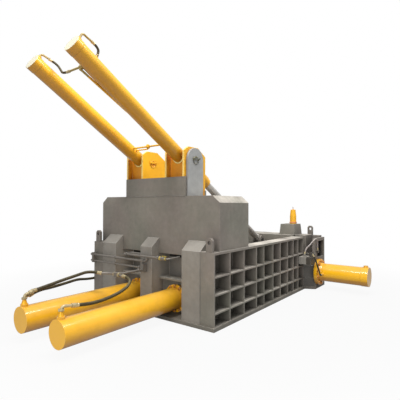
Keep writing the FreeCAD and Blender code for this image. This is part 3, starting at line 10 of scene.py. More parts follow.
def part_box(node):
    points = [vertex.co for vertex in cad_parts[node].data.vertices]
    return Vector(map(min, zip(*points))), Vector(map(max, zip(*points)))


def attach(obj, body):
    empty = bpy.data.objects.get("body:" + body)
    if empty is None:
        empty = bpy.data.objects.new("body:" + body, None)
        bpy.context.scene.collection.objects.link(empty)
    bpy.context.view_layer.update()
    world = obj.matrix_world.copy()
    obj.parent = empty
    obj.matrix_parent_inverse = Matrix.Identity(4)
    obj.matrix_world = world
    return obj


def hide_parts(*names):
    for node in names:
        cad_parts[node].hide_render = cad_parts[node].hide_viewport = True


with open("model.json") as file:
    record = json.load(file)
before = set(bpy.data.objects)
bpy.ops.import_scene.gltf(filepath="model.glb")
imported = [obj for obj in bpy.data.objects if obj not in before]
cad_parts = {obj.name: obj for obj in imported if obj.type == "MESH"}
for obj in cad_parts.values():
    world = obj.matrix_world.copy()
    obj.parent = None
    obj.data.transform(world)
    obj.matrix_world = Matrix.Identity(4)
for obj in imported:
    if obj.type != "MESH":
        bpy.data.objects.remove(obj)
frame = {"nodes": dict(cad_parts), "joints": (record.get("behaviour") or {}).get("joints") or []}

bl_info = {
    "name": "Recycling baler looks",
    "version": (1, 0, 0),
    "blender": (4, 5, 0),
    "location": "View3D > Sidebar > Baler",
    "description": "Dresses the packed press with paint, welds, bolts, pipes and hoses",
    "category": "Object",
}

NODES = frame["nodes"]
JOINTS = {joint["name"]: joint for joint in frame["joints"]}
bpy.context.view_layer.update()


def middle(node):
    """Middle of a CAD node's box."""
    low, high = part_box(node)
    return (low + high) / 2


# Boxes of the CAD's plates and cylinders, in metres. X runs from the near end to the far end,
# Y towards the left wall, and Z up.
WALL_LOW, WALL_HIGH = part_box("left_side_wall")
TOWER_LOW, TOWER_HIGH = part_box("tower")
SHIELD_LOW, SHIELD_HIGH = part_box("trunnion_shield")
LUG_LOW, LUG_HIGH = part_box("trunnion_lugs")
BRACKET_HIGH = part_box("bracket_plates")[1]
SEAT_LOW, SEAT_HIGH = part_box("cylinder_seats")
SADDLE_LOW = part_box("left_trunnion_saddle")[0]
MOUNT_LOW, MOUNT_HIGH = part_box("lock_mount")
SIDE_LOW, SIDE_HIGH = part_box("side_barrel")

# The box and its ribbed walls.
NEAR_X = WALL_LOW.x
CHANNEL_X = WALL_HIGH.x
FOOT_Z = WALL_LOW.z
WALL_TOP = WALL_HIGH.z
INNER_Y = WALL_LOW.y
OUTER_Y = WALL_HIGH.y
DECK_Z = LUG_LOW.z
RIB_DEPTH = 0.200
RIB_HALF = 0.011            # half a rib's thickness
RIB_BAYS = (0.390, 0.385, 0.385, 0.250, 0.330, 0.290, 0.315, 0.255, 0.230, 0.270)
SHELVES = (0.050, 0.222, 0.463, 0.702, 1.000)

# What stands side by side across the near end: three posts, and a seat in each gap.
MIDDLE_POST_Y = 0.120
POSTS = ((-INNER_Y, -SEAT_HIGH.y), (-MIDDLE_POST_Y, MIDDLE_POST_Y), (SEAT_HIGH.y, INNER_Y))
SEATS = ((-SEAT_HIGH.y, -MIDDLE_POST_Y), (MIDDLE_POST_Y, SEAT_HIGH.y))
SEAT_PLATE = 0.028
POST_SEAM_TOP = 0.920
BEAD_LIFT = 0.001           # of a bead's middle line off the plate that it runs along

# The plates on the tower's deck.
LUG_THICKNESS = 0.036
BRACKET_FACES = (0.243, 0.273, 0.591, 0.621)
BACK_SEAM_Y = 1.060         # half the length of the seam at the tower's back

# The lid cylinders, which hang on their trunnions and push on the lid's pins.
TRUNNION = Vector(JOINTS["lid_cylinder_swing"]["pos_m"])
LID_PIN = Vector(JOINTS["lid_rod_swing"]["pos_m"])
LID_SLOPE = math.atan2(TRUNNION.z - LID_PIN.z, LID_PIN.x - TRUNNION.x)
LID_Y = middle("left_lid_barrel").y
LID_BARREL_RADIUS = 0.104
LID_CAP_REACH = 2.2763      # from the trunnion to the cap's face
GLAND_SEAM_REACH = 0.575    # from the trunnion to the seam at the lid's end
GLAND_SEAM_RADIUS = 0.100

# The main cylinders, the side cylinder and the lock cylinder.
MAIN_Y = middle("left_main_barrel").y
MAIN_Z = middle("left_main_barrel").z
MAIN_FRONT_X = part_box("left_main_barrel")[1].x
MAIN_SEAM = 0.052           # from the barrel's front end
MAIN_SEAM_RADIUS = 0.164
MAIN_BOLTS = 12
MAIN_BOLT_CIRCLE = 0.185
SIDE_AXIS = Vector((middle("side_barrel").x, SIDE_HIGH.y, middle("side_barrel").z))
SIDE_LENGTH = SIDE_HIGH.y - SIDE_LOW.y
SIDE_SEAMS = ((0.062, 0.192), (SIDE_LENGTH - 0.122, 0.1755))    # distance out, radius
SIDE_BOLTS = 10
SIDE_BOLT_CIRCLE = 0.220
BOLT_HEAD = 0.0235          # height
LOCK_BASE = Vector((middle("lock_barrel").x, middle("lock_barrel").y,
                    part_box("lock_barrel")[0].z))

# The hard pipes across the near end and the tee that feeds the main cylinders.
PIPE_X = -1.930
UPPER_PIPE_Z = 0.816
LOWER_PIPE_Z = 0.712
TOP_PIPE_Z = 0.889
TEE = Vector((-2.435, 0.005, 0.686))
CAP_PORT = Vector((-3.540, MAIN_Y, 0.450))
CLAMP_Y = 1.297
CLAMP_Z = 0.388

# The pipe under the right lid cylinder: along the cylinder from its trunnion, across the
# press, and above the cylinder's axis.
FEED_TOP = (-1.996, -0.302, -0.030)
FEED_BEND = (-1.996, -0.302, -0.074)
FEED_FOOT = (-1.190, -0.304, -0.022)

# The dark inner plate behind the side frame's window, which stands in for the shade inside the
# frame, and the upright bars between them.
WINDOW_SHADE_PLATE = ((1.436, -1.404, 0.600), (1.824, -1.398, 0.960))
WINDOW_BARS = ((1.520, 0.020), (1.585, 0.014), (1.700, 0.024))  # X of the foot, radius
BAR_Y = -1.432
BAR_ENDS = (0.618, 0.942)
BAR_LEAN = 0.020

# Where one colour gives way to another.
# Above this height the bulkhead is painted near black: a painted shadow under the tower.
BULKHEAD_SHADOW_Z = 0.850
LID_PIPE_PALE_X = -3.150
LOCK_CAP_Z = 1.582
# Past this Y, towards the right, the valve block is painted dark: painted shade on its front face.
BLOCK_FACE_Y = -1.420
SADDLE_PALE_Y = 0.620
# Further out than this, the keepers are painted dark grey: painted shade round the pins on the
# bearing plates.
KEEPER_SHADE_Y = 0.560
NECK_YELLOW_Z = 0.520
WALL_PIPE_Y = 1.000

# The photograph's viewpoint, found from the straight edges of the box, and the two lamps.
EYE = (-5.7653, -4.0044, 1.6704)
EYE_YAW = 0.65272
EYE_PITCH = -0.01675
EYE_ROLL = -0.0022
EYE_LENS = 32.42
EYE_SHIFT = (0.001, -0.0032)
ROOF_LIGHT = dict(place=(-2.0, -2.2, 7.5), target=(-0.6, -0.4, 0.5), size=(7.0, 1.8))
FRONT_LIGHT = dict(place=(-9.2, -3.4, 2.1), target=(-1.5, -0.4, 0.4), size=(4.0, 3.0))


def linear(red, green, blue):
    """Scene-linear colour from the 0 to 255 values of a paint chip."""
    chip = []
    for value in (red, green, blue):
        value /= 255.0
        chip.append(value / 12.92 if value <= 0.04045 else ((value + 0.055) / 1.055) ** 2.4)
    return tuple(chip)


def colour_property(name, description, chip):
    return bpy.props.FloatVectorProperty(name=name, description=description, subtype="COLOR",
                                         size=3, min=0.0, max=1.0, default=linear(*chip))


def length_property(name, description, default):
    return bpy.props.FloatProperty(name=name, description=description, unit="LENGTH",
                                   default=default, min=0.0, precision=4)


class BalerColours(bpy.types.PropertyGroup):
    body: colour_property("Body", "Warm grey paint of the box and the tower", (133, 128, 120))
    lug: colour_property("Lugs", "Pale grey paint of the bearing plates", (165, 165, 163))
    yellow: colour_property("Cylinders", "Golden paint of the cylinders", (250, 184, 40))
    bolt: colour_property("Bolts", "Orange-brown paint over the bolts", (214, 132, 34))
    pipe: colour_property("Pipes", "Dull steel of the hard pipes", (118, 113, 106))
    fitting: colour_property("Fittings", "Pale plated hose fittings", (196, 180, 140))
    hose: colour_property("Hoses", "Dusty rubber of the hose covers", (74, 66, 47))
    worn: colour_property("Worn steel", "Steel that the bale rubs", (132, 126, 118))
    dark: colour_property("Pins", "Oiled dark steel of pins and keepers", (84, 82, 80))
    rust: colour_property("Rust", "Rust that creeps from the seams", (116, 70, 44))
    ring: colour_property("Marker", "Faded orange of the marker ring", (232, 146, 106))


class BalerSizes(bpy.types.PropertyGroup):
    weld: length_property("Weld bead", "Radius of the weld beads", 0.006)
    main_bolt: length_property("Main bolt", "Size across flats at the main flanges", 0.0368)
    side_bolt: length_property("Side bolt", "Size across flats at the side flange", 0.046)
    washer: length_property("Washer", "Thickness of a washer", 0.004)
    feed_pipe: length_property("Feed pipe", "Diameter of the pipe under the right lid cylinder",
                               0.028)
    ferrule: length_property("Ferrule", "Length of a hose's crimped ferrule", 0.048)


class BalerStage(bpy.types.PropertyGroup):
    overhead: bpy.props.FloatProperty(name="Overhead", description="Power of the roof light",
                                      subtype="POWER", default=640.0, min=0.0)
    front: bpy.props.FloatProperty(name="Front", description="Power of the light by the camera",
                                   subtype="POWER", default=190.0, min=0.0)
    sky: bpy.props.FloatProperty(name="Sky", description="Strength of the surrounding light",
                                 default=0.42, min=0.0)


# ------------------------------------------------------------------ node trees

class Bench:
    """Adds nodes to one tree and wires them up. An input is a value or another socket."""

    def __init__(self, tree):
        self.tree = tree

    def add(self, kind, inputs=None, **settings):
        """A new node with these inputs, by name or number, and these settings."""
        node = self.tree.nodes.new(kind)
        for name, value in settings.items():
            setattr(node, name, value)
        for name, value in (inputs or {}).items():
            self.plug(node, name, value)
        return node

    def plug(self, node, name, value):
        """Links a socket to a node's input, or sets the input's value."""
        if isinstance(value, bpy.types.NodeSocket):
            self.tree.links.new(value, node.inputs[name])
        else:
            node.inputs[name].default_value = value

    def maths(self, operation, first, second=0.0, clamp=False):
        """Two numbers in one sum, kept from 0 to 1 where clamp is set."""
        node = self.add("ShaderNodeMath", {0: first, 1: second}, operation=operation,
                        use_clamp=clamp)
        return node.outputs[0]

    def blend(self, factor, first, second, how="MIX"):
        """The first colour where factor is 0, turning to the second where it is 1."""
        node = self.add("ShaderNodeMix", {0: factor, 6: first, 7: second}, data_type="RGBA",
                        blend_type=how)
        return node.outputs[2]

    def lay(self, colour, chip, mask, strength):
        """The colour with a chip laid over it where the mask says, at this strength."""
        return self.blend(self.maths("MULTIPLY", mask, strength), colour, chip)

    def span(self, value, low, high, to_low=0.0, to_high=1.0, smooth=False):
        """Stretches the values from low to high over those from to_low to to_high."""
        node = self.add("ShaderNodeMapRange", {"Value": value, "From Min": low,
                                               "From Max": high, "To Min": to_low,
                                               "To Max": to_high})
        if smooth:
            node.interpolation_type = "SMOOTHSTEP"
        return node.outputs[0]

    def noise(self, place, scale, detail=3.0, roughness=0.55):
        """Cloudy values from 0 to 1."""
        node = self.add("ShaderNodeTexNoise", {"Vector": place, "Scale": scale,
                                               "Detail": detail, "Roughness": roughness})
        return node.outputs[0]

    def place(self):
        """Where a point of the surface is in the press."""
        return self.add("ShaderNodeTexCoord").outputs["Object"]

    def normal(self):
        """The way a point of the surface faces."""
        return self.add("ShaderNodeNewGeometry").outputs["Normal"]

    def parts(self, vector):
        """The X, Y and Z of a vector."""
        return self.add("ShaderNodeSeparateXYZ", {0: vector}).outputs

    def vector(self, x=0.0, y=0.0, z=0.0):
        """A vector from its parts."""
        return self.add("ShaderNodeCombineXYZ", {0: x, 1: y, 2: z}).outputs[0]

    def along(self, vector, way):
        """How far a vector reaches along a way."""
        node = self.add("ShaderNodeVectorMath", {0: vector, 1: way}, operation="DOT_PRODUCT")
        return node.outputs["Value"]


def effect(name, inputs, outputs):
    """An empty shader group with named float inputs and outputs."""
    tree = bpy.data.node_groups.new(name, "ShaderNodeTree")
    for label, value in inputs:
        socket = tree.interface.new_socket(label, in_out="INPUT", socket_type="NodeSocketFloat")
        socket.default_value = value
    for label, kind in outputs:
        tree.interface.new_socket(label, in_out="OUTPUT", socket_type=kind)
    bench = Bench(tree)
    bench.given = bench.add("NodeGroupInput").outputs
    bench.result = bench.add("NodeGroupOutput")
    return bench


def edge_wear_effect():
    """Rims where the paint has rubbed off, and a normal that rounds the edges."""
    bench = effect("edge_wear", [("Radius", 0.008), ("Breakup", 9.0), ("Bare", 0.5)],
                   [("Mask", "NodeSocketFloat"), ("Round", "NodeSocketVector")])
    bevel = bench.add("ShaderNodeBevel", {"Radius": bench.given["Radius"]}, samples=6)
    edge = bench.span(bench.along(bevel.outputs[0], bench.normal()), 0.99, 0.86)
    broken = bench.noise(bench.place(), bench.given["Breakup"], 6.0, 0.65)
    low = bench.maths("SUBTRACT", 0.72, bench.maths("MULTIPLY", bench.given["Bare"], 0.5))
    chipped = bench.span(broken, low, bench.maths("ADD", low, 0.10))
    bench.plug(bench.result, "Mask", bench.maths("MULTIPLY", edge, chipped, True))
    bench.plug(bench.result, "Round", bevel.outputs[0])


def corner_shade_and_dirt_effect():
    """Patchy darkening in the corners and hollows, from ambient occlusion: painted shade, with
    soiling as well.
    """
    bench = effect("corner_dirt", [("Reach", 0.12), ("Patchy", 5.0)],
                   [("Mask", "NodeSocketFloat")])
    hidden = bench.add("ShaderNodeAmbientOcclusion", {"Distance": bench.given["Reach"]},
                       samples=6).outputs["AO"]
    depth = bench.span(hidden, 0.95, 0.35)
    patch = bench.span(bench.noise(bench.place(), bench.given["Patchy"], 5.0, 0.6),
                       0.30, 0.62, 0.45, 1.0)
    bench.plug(bench.result, "Mask", bench.maths("MULTIPLY", depth, patch, True))


def mottle_effect():
    """Broad and fine changes of tone."""
    bench = effect("mottle", [("Large", 1.6), ("Small", 14.0)], [("Tone", "NodeSocketFloat")])
    spot = bench.place()
    broad = bench.noise(spot, bench.given["Large"], 4.0, 0.6)
    fine = bench.noise(spot, bench.given["Small"], 4.0, 0.6)
    mixed = bench.maths("ADD", bench.maths("MULTIPLY", broad, 0.7),
                        bench.maths("MULTIPLY", fine, 0.3))
    bench.plug(bench.result, "Tone", bench.span(mixed, 0.36, 0.64))


def run_marks_effect():
    """Thin marks that run down."""
    bench = effect("run_marks", [("Across", 22.0), ("Down", 1.1)], [("Mask", "NodeSocketFloat")])
    parts = bench.parts(bench.place())
    drawn = bench.vector(bench.maths("MULTIPLY", parts[0], bench.given["Across"]),
                         bench.maths("MULTIPLY", parts[1], bench.given["Across"]),
                         bench.maths("MULTIPLY", parts[2], bench.given["Down"]))
    lines = bench.noise(drawn, 1.0, 4.0, 0.7)
    bench.plug(bench.result, "Mask", bench.span(lines, 0.54, 0.74, smooth=True))


def specks_effect():
    """Small dots in clusters."""
    bench = effect("specks", [("Scale", 70.0), ("Size", 0.16), ("Cluster", 2.2)],
                   [("Mask", "NodeSocketFloat")])
    spot = bench.place()
    cells = bench.add("ShaderNodeTexVoronoi", {"Vector": spot, "Scale": bench.given["Scale"]})
    dot = bench.span(cells.outputs["Distance"], bench.given["Size"],
                     bench.maths("MULTIPLY", bench.given["Size"], 0.6))
    where = bench.span(bench.noise(spot, bench.given["Cluster"], 3.0, 0.6), 0.50, 0.62)
    bench.plug(bench.result, "Mask", bench.maths("MULTIPLY", dot, where, True))


def top_dust_and_light_effect():
    """Patchy paler colour on what faces up: a dusting, and painted light where the light falls on
    tops.
    """
    bench = effect("top_dust", [("Patchy", 3.0)], [("Mask", "NodeSocketFloat")])
    up = bench.parts(bench.normal())[2]
    lying = bench.span(up, 0.25, 0.95)
    patch = bench.span(bench.noise(bench.place(), bench.given["Patchy"], 5.0, 0.6), 0.32, 0.66)
    bench.plug(bench.result, "Mask", bench.maths("MULTIPLY", lying, patch, True))


def underside_shade_effect():
    """The share of the surface that faces down, which the paints darken as painted shade."""
    bench = effect("underside", [("Start", 0.1), ("Full", -0.8)], [("Mask", "NodeSocketFloat")])
    up = bench.parts(bench.normal())[2]
    bench.plug(bench.result, "Mask", bench.span(up, bench.given["Start"], bench.given["Full"],
                                                smooth=True))


def plate_surface_effect():
    """Fine grain on long low waves, as rolled plate and its paint have."""
    bench = effect("plate_surface", [("Grain", 240.0), ("Grain Height", 0.25), ("Wave", 2.4),
                                     ("Wave Height", 1.0)], [("Height", "NodeSocketFloat")])
    spot = bench.place()
    grain = bench.maths("MULTIPLY", bench.noise(spot, bench.given["Grain"], 2.0, 0.5),
                      bench.given["Grain Height"])
    wave = bench.maths("MULTIPLY", bench.noise(spot, bench.given["Wave"], 2.0, 0.4),
                     bench.given["Wave Height"])
    bench.plug(bench.result, "Height", bench.maths("ADD", grain, wave))


def make_effects():
    """The shader groups that the paints share."""
    for make in (edge_wear_effect, corner_shade_and_dirt_effect, mottle_effect, run_marks_effect,
                 specks_effect, top_dust_and_light_effect, underside_shade_effect, plate_surface_effect):
        make()


def grouped(bench, name, **inputs):
    """One of the shared effects, with these inputs."""
    node = bench.add("ShaderNodeGroup")
    node.node_tree = bpy.data.node_groups[name]
    for label, value in inputs.items():
        bench.plug(node, label.replace("_", " ").title(), value)
    return node


def mask(bench, name, **inputs):
    """Where one of the shared effects shows."""
    return grouped(bench, name, **inputs).outputs["Mask"]


def shade(colour, factor):
    """A lighter or darker colour, with full alpha."""
    return tuple(min(1.0, c * factor) for c in colour[:3]) + (1.0,)


def new_material(name):
    """An empty material, the bench for its nodes, and its surface shader."""
    material = bpy.data.materials.new(name)
    material.use_nodes = True
    bench = Bench(material.node_tree)
    surface = material.node_tree.nodes["Principled BSDF"]
    return material, bench, surface


def make_paint(name, chip, rough=0.5, coat=0.0, metallic=0.0, light=1.10, deep=0.80,
               shade_and_dirt=0.55, shade_and_dirt_chip=None, reach=0.12, wear=0.5, wear_chip=None, radius=0.006,
               runs=0.12, specks=0.0, speck_chip=None, dust_and_light=0.12, dust_and_light_chip=None,
               grain_height=0.25, wave_height=1.0, bump=0.004, tint=0.0, shine=0.5,
               under=0.0, over=None):
    """A coat of paint or a bare metal with tone, runs, a darkening in the corners that is painted
    shade as well as soiling, a paler colour on tops that is painted light as well as a dusting,
    specks and worn edges. under paints shade on what faces down, and over changes the colour by
    its own rule."""
    material, bench, surface = new_material(name)
    # The dark colour laid in the corners and on what faces down: painted shade, with the corners
    # also soiled.
    shade_and_dirt_colour = shade(shade_and_dirt_chip or shade(chip, 0.30), 1.0)
    tone = grouped(bench, "mottle").outputs["Tone"]
    colour = bench.blend(tone, shade(chip, deep), shade(chip, light))
    if tint:
        drift = bench.span(bench.noise(bench.place(), 0.9, 3.0, 0.5), 0.38, 0.62)
        cast = bench.blend(drift, (0.97, 1.02, 0.90, 1.0), (1.06, 0.95, 0.93, 1.0))
        colour = bench.blend(tint, colour, cast, "MULTIPLY")
    colour = bench.lay(colour, shade(chip, deep * 0.55), mask(bench, "run_marks"), runs)
    # A paler colour on what faces up: a dusting, and painted light where the light falls on the
    # tops.
    dusty_and_lit = mask(bench, "top_dust")
    colour = bench.lay(colour, shade(dust_and_light_chip or linear(196, 188, 174), 1.0), dusty_and_lit, dust_and_light)
    # Darkening in corners and hollows, found by ambient occlusion: painted shade, and the corners
    # soiled.
    corner = mask(bench, "corner_dirt", reach=reach)
    colour = bench.lay(colour, shade_and_dirt_colour, corner, shade_and_dirt)
    # Darkening of what faces down: painted shade.
    if under:
        colour = bench.lay(colour, shade_and_dirt_colour, mask(bench, "underside"), under)
    if specks:
        dots = shade(speck_chip or shade(chip, 1.9), 1.0)
        colour = bench.lay(colour, dots, mask(bench, "specks"), specks)
    if over:
        colour = over(bench, colour)
    rim = grouped(bench, "edge_wear", radius=radius, bare=wear)
    bare = shade(wear_chip or shade(chip, 1.7), 1.0)
    colour = bench.lay(colour, bare, rim.outputs["Mask"], 0.85)
    bench.plug(surface, "Base Color", colour)
    gloss = bench.span(tone, 0.0, 1.0, rough + 0.06, rough - 0.06)
    gloss = bench.maths("ADD", gloss, bench.maths("MULTIPLY", dusty_and_lit, 0.18))
    bench.plug(surface, "Roughness", bench.maths("ADD", gloss,
                                               bench.maths("MULTIPLY", corner, 0.15), True))
    surface.inputs["Metallic"].default_value = metallic
    surface.inputs["Specular IOR Level"].default_value = shine
    surface.inputs["Coat Weight"].default_value = coat
    surface.inputs["Coat Roughness"].default_value = 0.16
    height = grouped(bench, "plate_surface", grain_height=grain_height,
                     wave_height=wave_height).outputs["Height"]
    relief = bench.add("ShaderNodeBump", {"Height": height, "Normal": rim.outputs["Round"],
                                          "Strength": 0.6, "Distance": bump})
    bench.plug(surface, "Normal", relief.outputs[0])
    return material


def make_hose_rubber(name, chip, dust_and_light_chip, dust_and_light):
    """Rubber hose cover with a faint wrap and dust on top."""
    material, bench, surface = new_material(name)
    spot = bench.place()
    tone = grouped(bench, "mottle", large=4.0, small=60.0).outputs["Tone"]
    colour = bench.blend(tone, shade(chip, 0.62), shade(chip, 1.15))
    dusty_and_lit = mask(bench, "top_dust", patchy=9.0)
    colour = bench.lay(colour, shade(dust_and_light_chip, 1.0), dusty_and_lit, dust_and_light)
    wrap = bench.add("ShaderNodeTexWave", {"Vector": spot, "Scale": 34.0, "Distortion": 2.0,
                                           "Detail": 1.0}, bands_direction="DIAGONAL")
    colour = bench.lay(colour, shade(chip, 0.45), wrap.outputs["Fac"], 0.18)
    bench.plug(surface, "Base Color", colour)
    bench.plug(surface, "Roughness", bench.span(tone, 0.0, 1.0, 0.62, 0.46))
    surface.inputs["Specular IOR Level"].default_value = 0.25
    height = bench.maths("ADD", bench.maths("MULTIPLY", wrap.outputs["Fac"], 0.6),
                       bench.noise(spot, 180.0, 2.0, 0.5))
    relief = bench.add("ShaderNodeBump", {"Height": height, "Strength": 0.5,
                                          "Distance": 0.002})
    bench.plug(surface, "Normal", relief.outputs[0])
    return material


# ------------------------------------------------------------------ rules of colour
# Each takes the colour so far, and gives it back with another colour painted over a part.

def beyond(reach, chip):
    """Paints another colour further than reach from the press's middle line."""
    def over(bench, colour):
        across = bench.maths("ABSOLUTE", bench.parts(bench.place())[1])
        out = bench.maths("GREATER_THAN", across, reach)
        return bench.blend(out, colour, shade(chip, 1.0))
    return over


def past(way, place, chip):
    """Paints another colour past a place along a way."""
    def over(bench, colour):
        out = bench.maths("GREATER_THAN", bench.along(bench.place(), way), place)
        return bench.blend(out, colour, shade(chip, 1.0))
    return over


def in_turn(first, second):
    """One rule of colour after another."""
    return lambda bench, colour: second(bench, first(bench, colour))


def facing(way, chip):
    """Paints another colour on flat ends that face a way."""
    def over(bench, colour):
        turned = bench.add("ShaderNodeTexCoord").outputs["Normal"]
        toward = bench.span(bench.along(turned, way), 0.90, 0.96)
        return bench.blend(toward, colour, shade(chip, 1.0))
    return over


def thin_edges(chip):
    """Paints another colour on the cut edges of plates that stand across the press, as a painted
    highlight on those edges.
    """
    def over(bench, colour):
        across = bench.maths("ABSOLUTE", bench.parts(bench.normal())[1])
        return bench.blend(bench.span(across, 0.6, 0.4, 0.0, 0.75), colour, shade(chip, 1.0))
    return over


def below(height, width, chip):
    """Paints another colour below a height, with a soft uneven line."""
    def over(bench, colour):
        spot = bench.place()
        drift = bench.span(bench.noise(spot, 30.0), 0.3, 0.7, -width, width)
        ragged = bench.maths("ADD", bench.parts(spot)[2], drift)
        return bench.blend(bench.span(ragged, height - width, height + width), shade(chip, 1.0),
                           colour)
    return over


# ------------------------------------------------------------------ mesh work

class Stock:
    """Collects turned and cut shapes into one mesh."""

    def __init__(self):
        self.bm = bmesh.new()

    def turned(self, profile, place, sides=32):
        """A solid of revolution: profile is (radius, height) pairs about place's Z axis."""
        rings = []
        for radius, height in profile:
            if radius <= 0.0:
                rings.append([self.bm.verts.new(place @ Vector((0, 0, height)))])
                continue
            rings.append([self.bm.verts.new(place @ Vector((
                radius * math.cos(2 * math.pi * i / sides),
                radius * math.sin(2 * math.pi * i / sides), height))) for i in range(sides)])
        for lower, upper in zip(rings, rings[1:]):
            for i in range(sides):
                j = (i + 1) % sides
                corners = [lower[i % len(lower)], lower[j % len(lower)],
                           upper[j % len(upper)], upper[i % len(upper)]]
                unique = list(dict.fromkeys(corners))
                if len(unique) > 2:
                    self.bm.faces.new(unique)

    def hexagon(self, across, height, place, start=0.0):
        """A hexagon nut or head with its corners turned down."""
        corner = across / math.sqrt(3)
        cut = height * 0.16
        self.turned([(0, start), (corner * 0.93, start), (corner, start + cut),
                     (corner, start + height - cut), (corner * 0.93, start + height),
                     (0, start + height)], place, 6)

    def block(self, low, high, bevel=0.002):
        """A box with broken edges."""
        made = bmesh.ops.create_cube(self.bm, size=1.0)["verts"]
        size = Vector(high) - Vector(low)
        middle = (Vector(high) + Vector(low)) / 2
        for vert in made:
            vert.co = Vector(vert.co[i] * size[i] for i in range(3)) + middle
        edges = list({edge for vert in made for edge in vert.link_edges})
        bmesh.ops.bevel(self.bm, geom=edges, offset=bevel, segments=2, affect="EDGES")

    def bar(self, start, end, radius, sides=20):
        """A round bar between two points, its ends slightly chamfered."""
        length = (end - start).length
        cut = min(0.15 * radius, 0.2 * length)
        self.turned([(0, 0), (radius - cut, 0), (radius, cut), (radius, length - cut),
                     (radius - cut, length), (0, length)], aim(start, end - start), sides)

    def mesh(self, name, sharp=35.0):
        """The finished mesh, with edges over sharp degrees left hard."""
        bmesh.ops.remove_doubles(self.bm, verts=self.bm.verts, dist=1e-6)
        bmesh.ops.recalc_face_normals(self.bm, faces=self.bm.faces)
        mesh = bpy.data.meshes.new(name)
        self.bm.to_mesh(mesh)
        self.bm.free()
        smooth(mesh, sharp)
        return mesh


def smooth(mesh, sharp):
    """Shades the mesh smooth, apart from its edges over sharp degrees."""
    mesh.polygons.foreach_set("use_smooth", [True] * len(mesh.polygons))
    mesh.set_sharp_from_angle(angle=math.radians(sharp))
    mesh.update()


def aim(place, direction):
    """Matrix that stands at place with its Z axis along direction."""
    turn = Vector(direction).to_track_quat("Z", "X").to_matrix().to_4x4()
    return Matrix.Translation(place) @ turn


def lid_place(along, y, above_axis):
    """A point given along and above a lid cylinder's axis."""
    return Vector((TRUNNION.x + along * math.cos(LID_SLOPE) + above_axis * math.sin(LID_SLOPE),
                   y,
                   TRUNNION.z - along * math.sin(LID_SLOPE) + above_axis * math.cos(LID_SLOPE)))


def lid_way():
    """The way along a lid cylinder, from its cap to the lid."""
    return Vector((math.cos(LID_SLOPE), 0, -math.sin(LID_SLOPE)))


def add_piece(name, mesh, material, body, stands_for=()):
    """A piece that rides on a body, and may stand for CAD nodes."""
    piece = bpy.data.objects.new(name, mesh)
    bpy.context.scene.collection.objects.link(piece)
    mesh.materials.clear()
    mesh.materials.append(bpy.data.materials[material])
    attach(piece, body)
    if stands_for:
        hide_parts(*stands_for)
    return piece


def paint_nodes(material, *names):
    """Gives these CAD nodes a paint."""
    for name in names:
        for slot in NODES[name].material_slots:
            slot.link = "OBJECT"
            slot.material = bpy.data.materials[material]


# ------------------------------------------------------------------ shape trees

def shape_tree(name, inputs, takes_geometry=False):
    """An empty Geometry Nodes tree with named inputs."""
    tree = bpy.data.node_groups.new(name, "GeometryNodeTree")
    if takes_geometry:
        tree.interface.new_socket("Geometry", in_out="INPUT",
                                  socket_type="NodeSocketGeometry")
    for label, kind, value in inputs:
        socket = tree.interface.new_socket(label, in_out="INPUT", socket_type=kind)
        if value is not None:
            socket.default_value = value
    tree.interface.new_socket("Geometry", in_out="OUTPUT", socket_type="NodeSocketGeometry")
    bench = Bench(tree)
    bench.given = bench.add("NodeGroupInput").outputs
    bench.result = bench.add("NodeGroupOutput")
    return bench


def finish_tree(bench, geometry):
    """Ends a tree in real geometry with its material."""
    real = bench.add("GeometryNodeRealizeInstances", {"Geometry": geometry}).outputs[0]
    dressed = bench.add("GeometryNodeSetMaterial", {"Geometry": real,
                                                    "Material": bench.given["Material"]})
    bench.plug(bench.result, "Geometry", dressed.outputs[0])
    return bench.tree


def moved(bench, geometry, offset):
    """Geometry shifted by an offset."""
    return bench.add("GeometryNodeTransform", {"Geometry": geometry,
                                               "Translation": offset}).outputs[0]


def bolt_ring_tree():
    """Bolts with washers on a circle in the XY plane, their heads towards +Z."""
    bench = shape_tree("bolt_ring", [("Count", "NodeSocketInt", 12),
                                     ("Circle", "NodeSocketFloat", 0.185),
                                     ("Across", "NodeSocketFloat", 0.036),
                                     ("Height", "NodeSocketFloat", 0.026),
                                     ("Washer", "NodeSocketFloat", 0.004),
                                     ("Seed", "NodeSocketInt", 3),
                                     ("Material", "NodeSocketMaterial", None)])
    given = bench.given
    circle = bench.add("GeometryNodeMeshCircle", {"Vertices": given["Count"],
                                                  "Radius": given["Circle"]}).outputs[0]

    def share(size, part):
        return bench.maths("MULTIPLY", given[size], part)

    head = bench.add("GeometryNodeMeshCylinder", {
        "Vertices": 6, "Radius": share("Across", 0.577), "Depth": given["Height"]}).outputs[0]
    crown = bench.add("GeometryNodeMeshCone", {
        "Vertices": 24, "Radius Top": share("Across", 0.34),
        "Radius Bottom": share("Across", 0.48), "Depth": share("Height", 0.14)}).outputs[0]
    washer = bench.add("GeometryNodeMeshCylinder", {
        "Vertices": 28, "Radius": share("Across", 0.62), "Depth": given["Washer"]}).outputs[0]
    bolt = bench.add("GeometryNodeJoinGeometry")
    for piece, lift in ((head, share("Height", 0.5)), (crown, given["Height"]),
                        (washer, share("Washer", 0.5))):
        bench.tree.links.new(moved(bench, piece, bench.vector(z=lift)), bolt.inputs[0])
    turn = bench.add("FunctionNodeRandomValue", {"Seed": given["Seed"]}, data_type="FLOAT")
    turn.inputs[3].default_value = 1.05
    placed = bench.add("GeometryNodeInstanceOnPoints", {
        "Points": circle, "Instance": bolt.outputs[0],
        "Rotation": bench.vector(z=turn.outputs[1])}).outputs[0]
    return finish_tree(bench, placed)


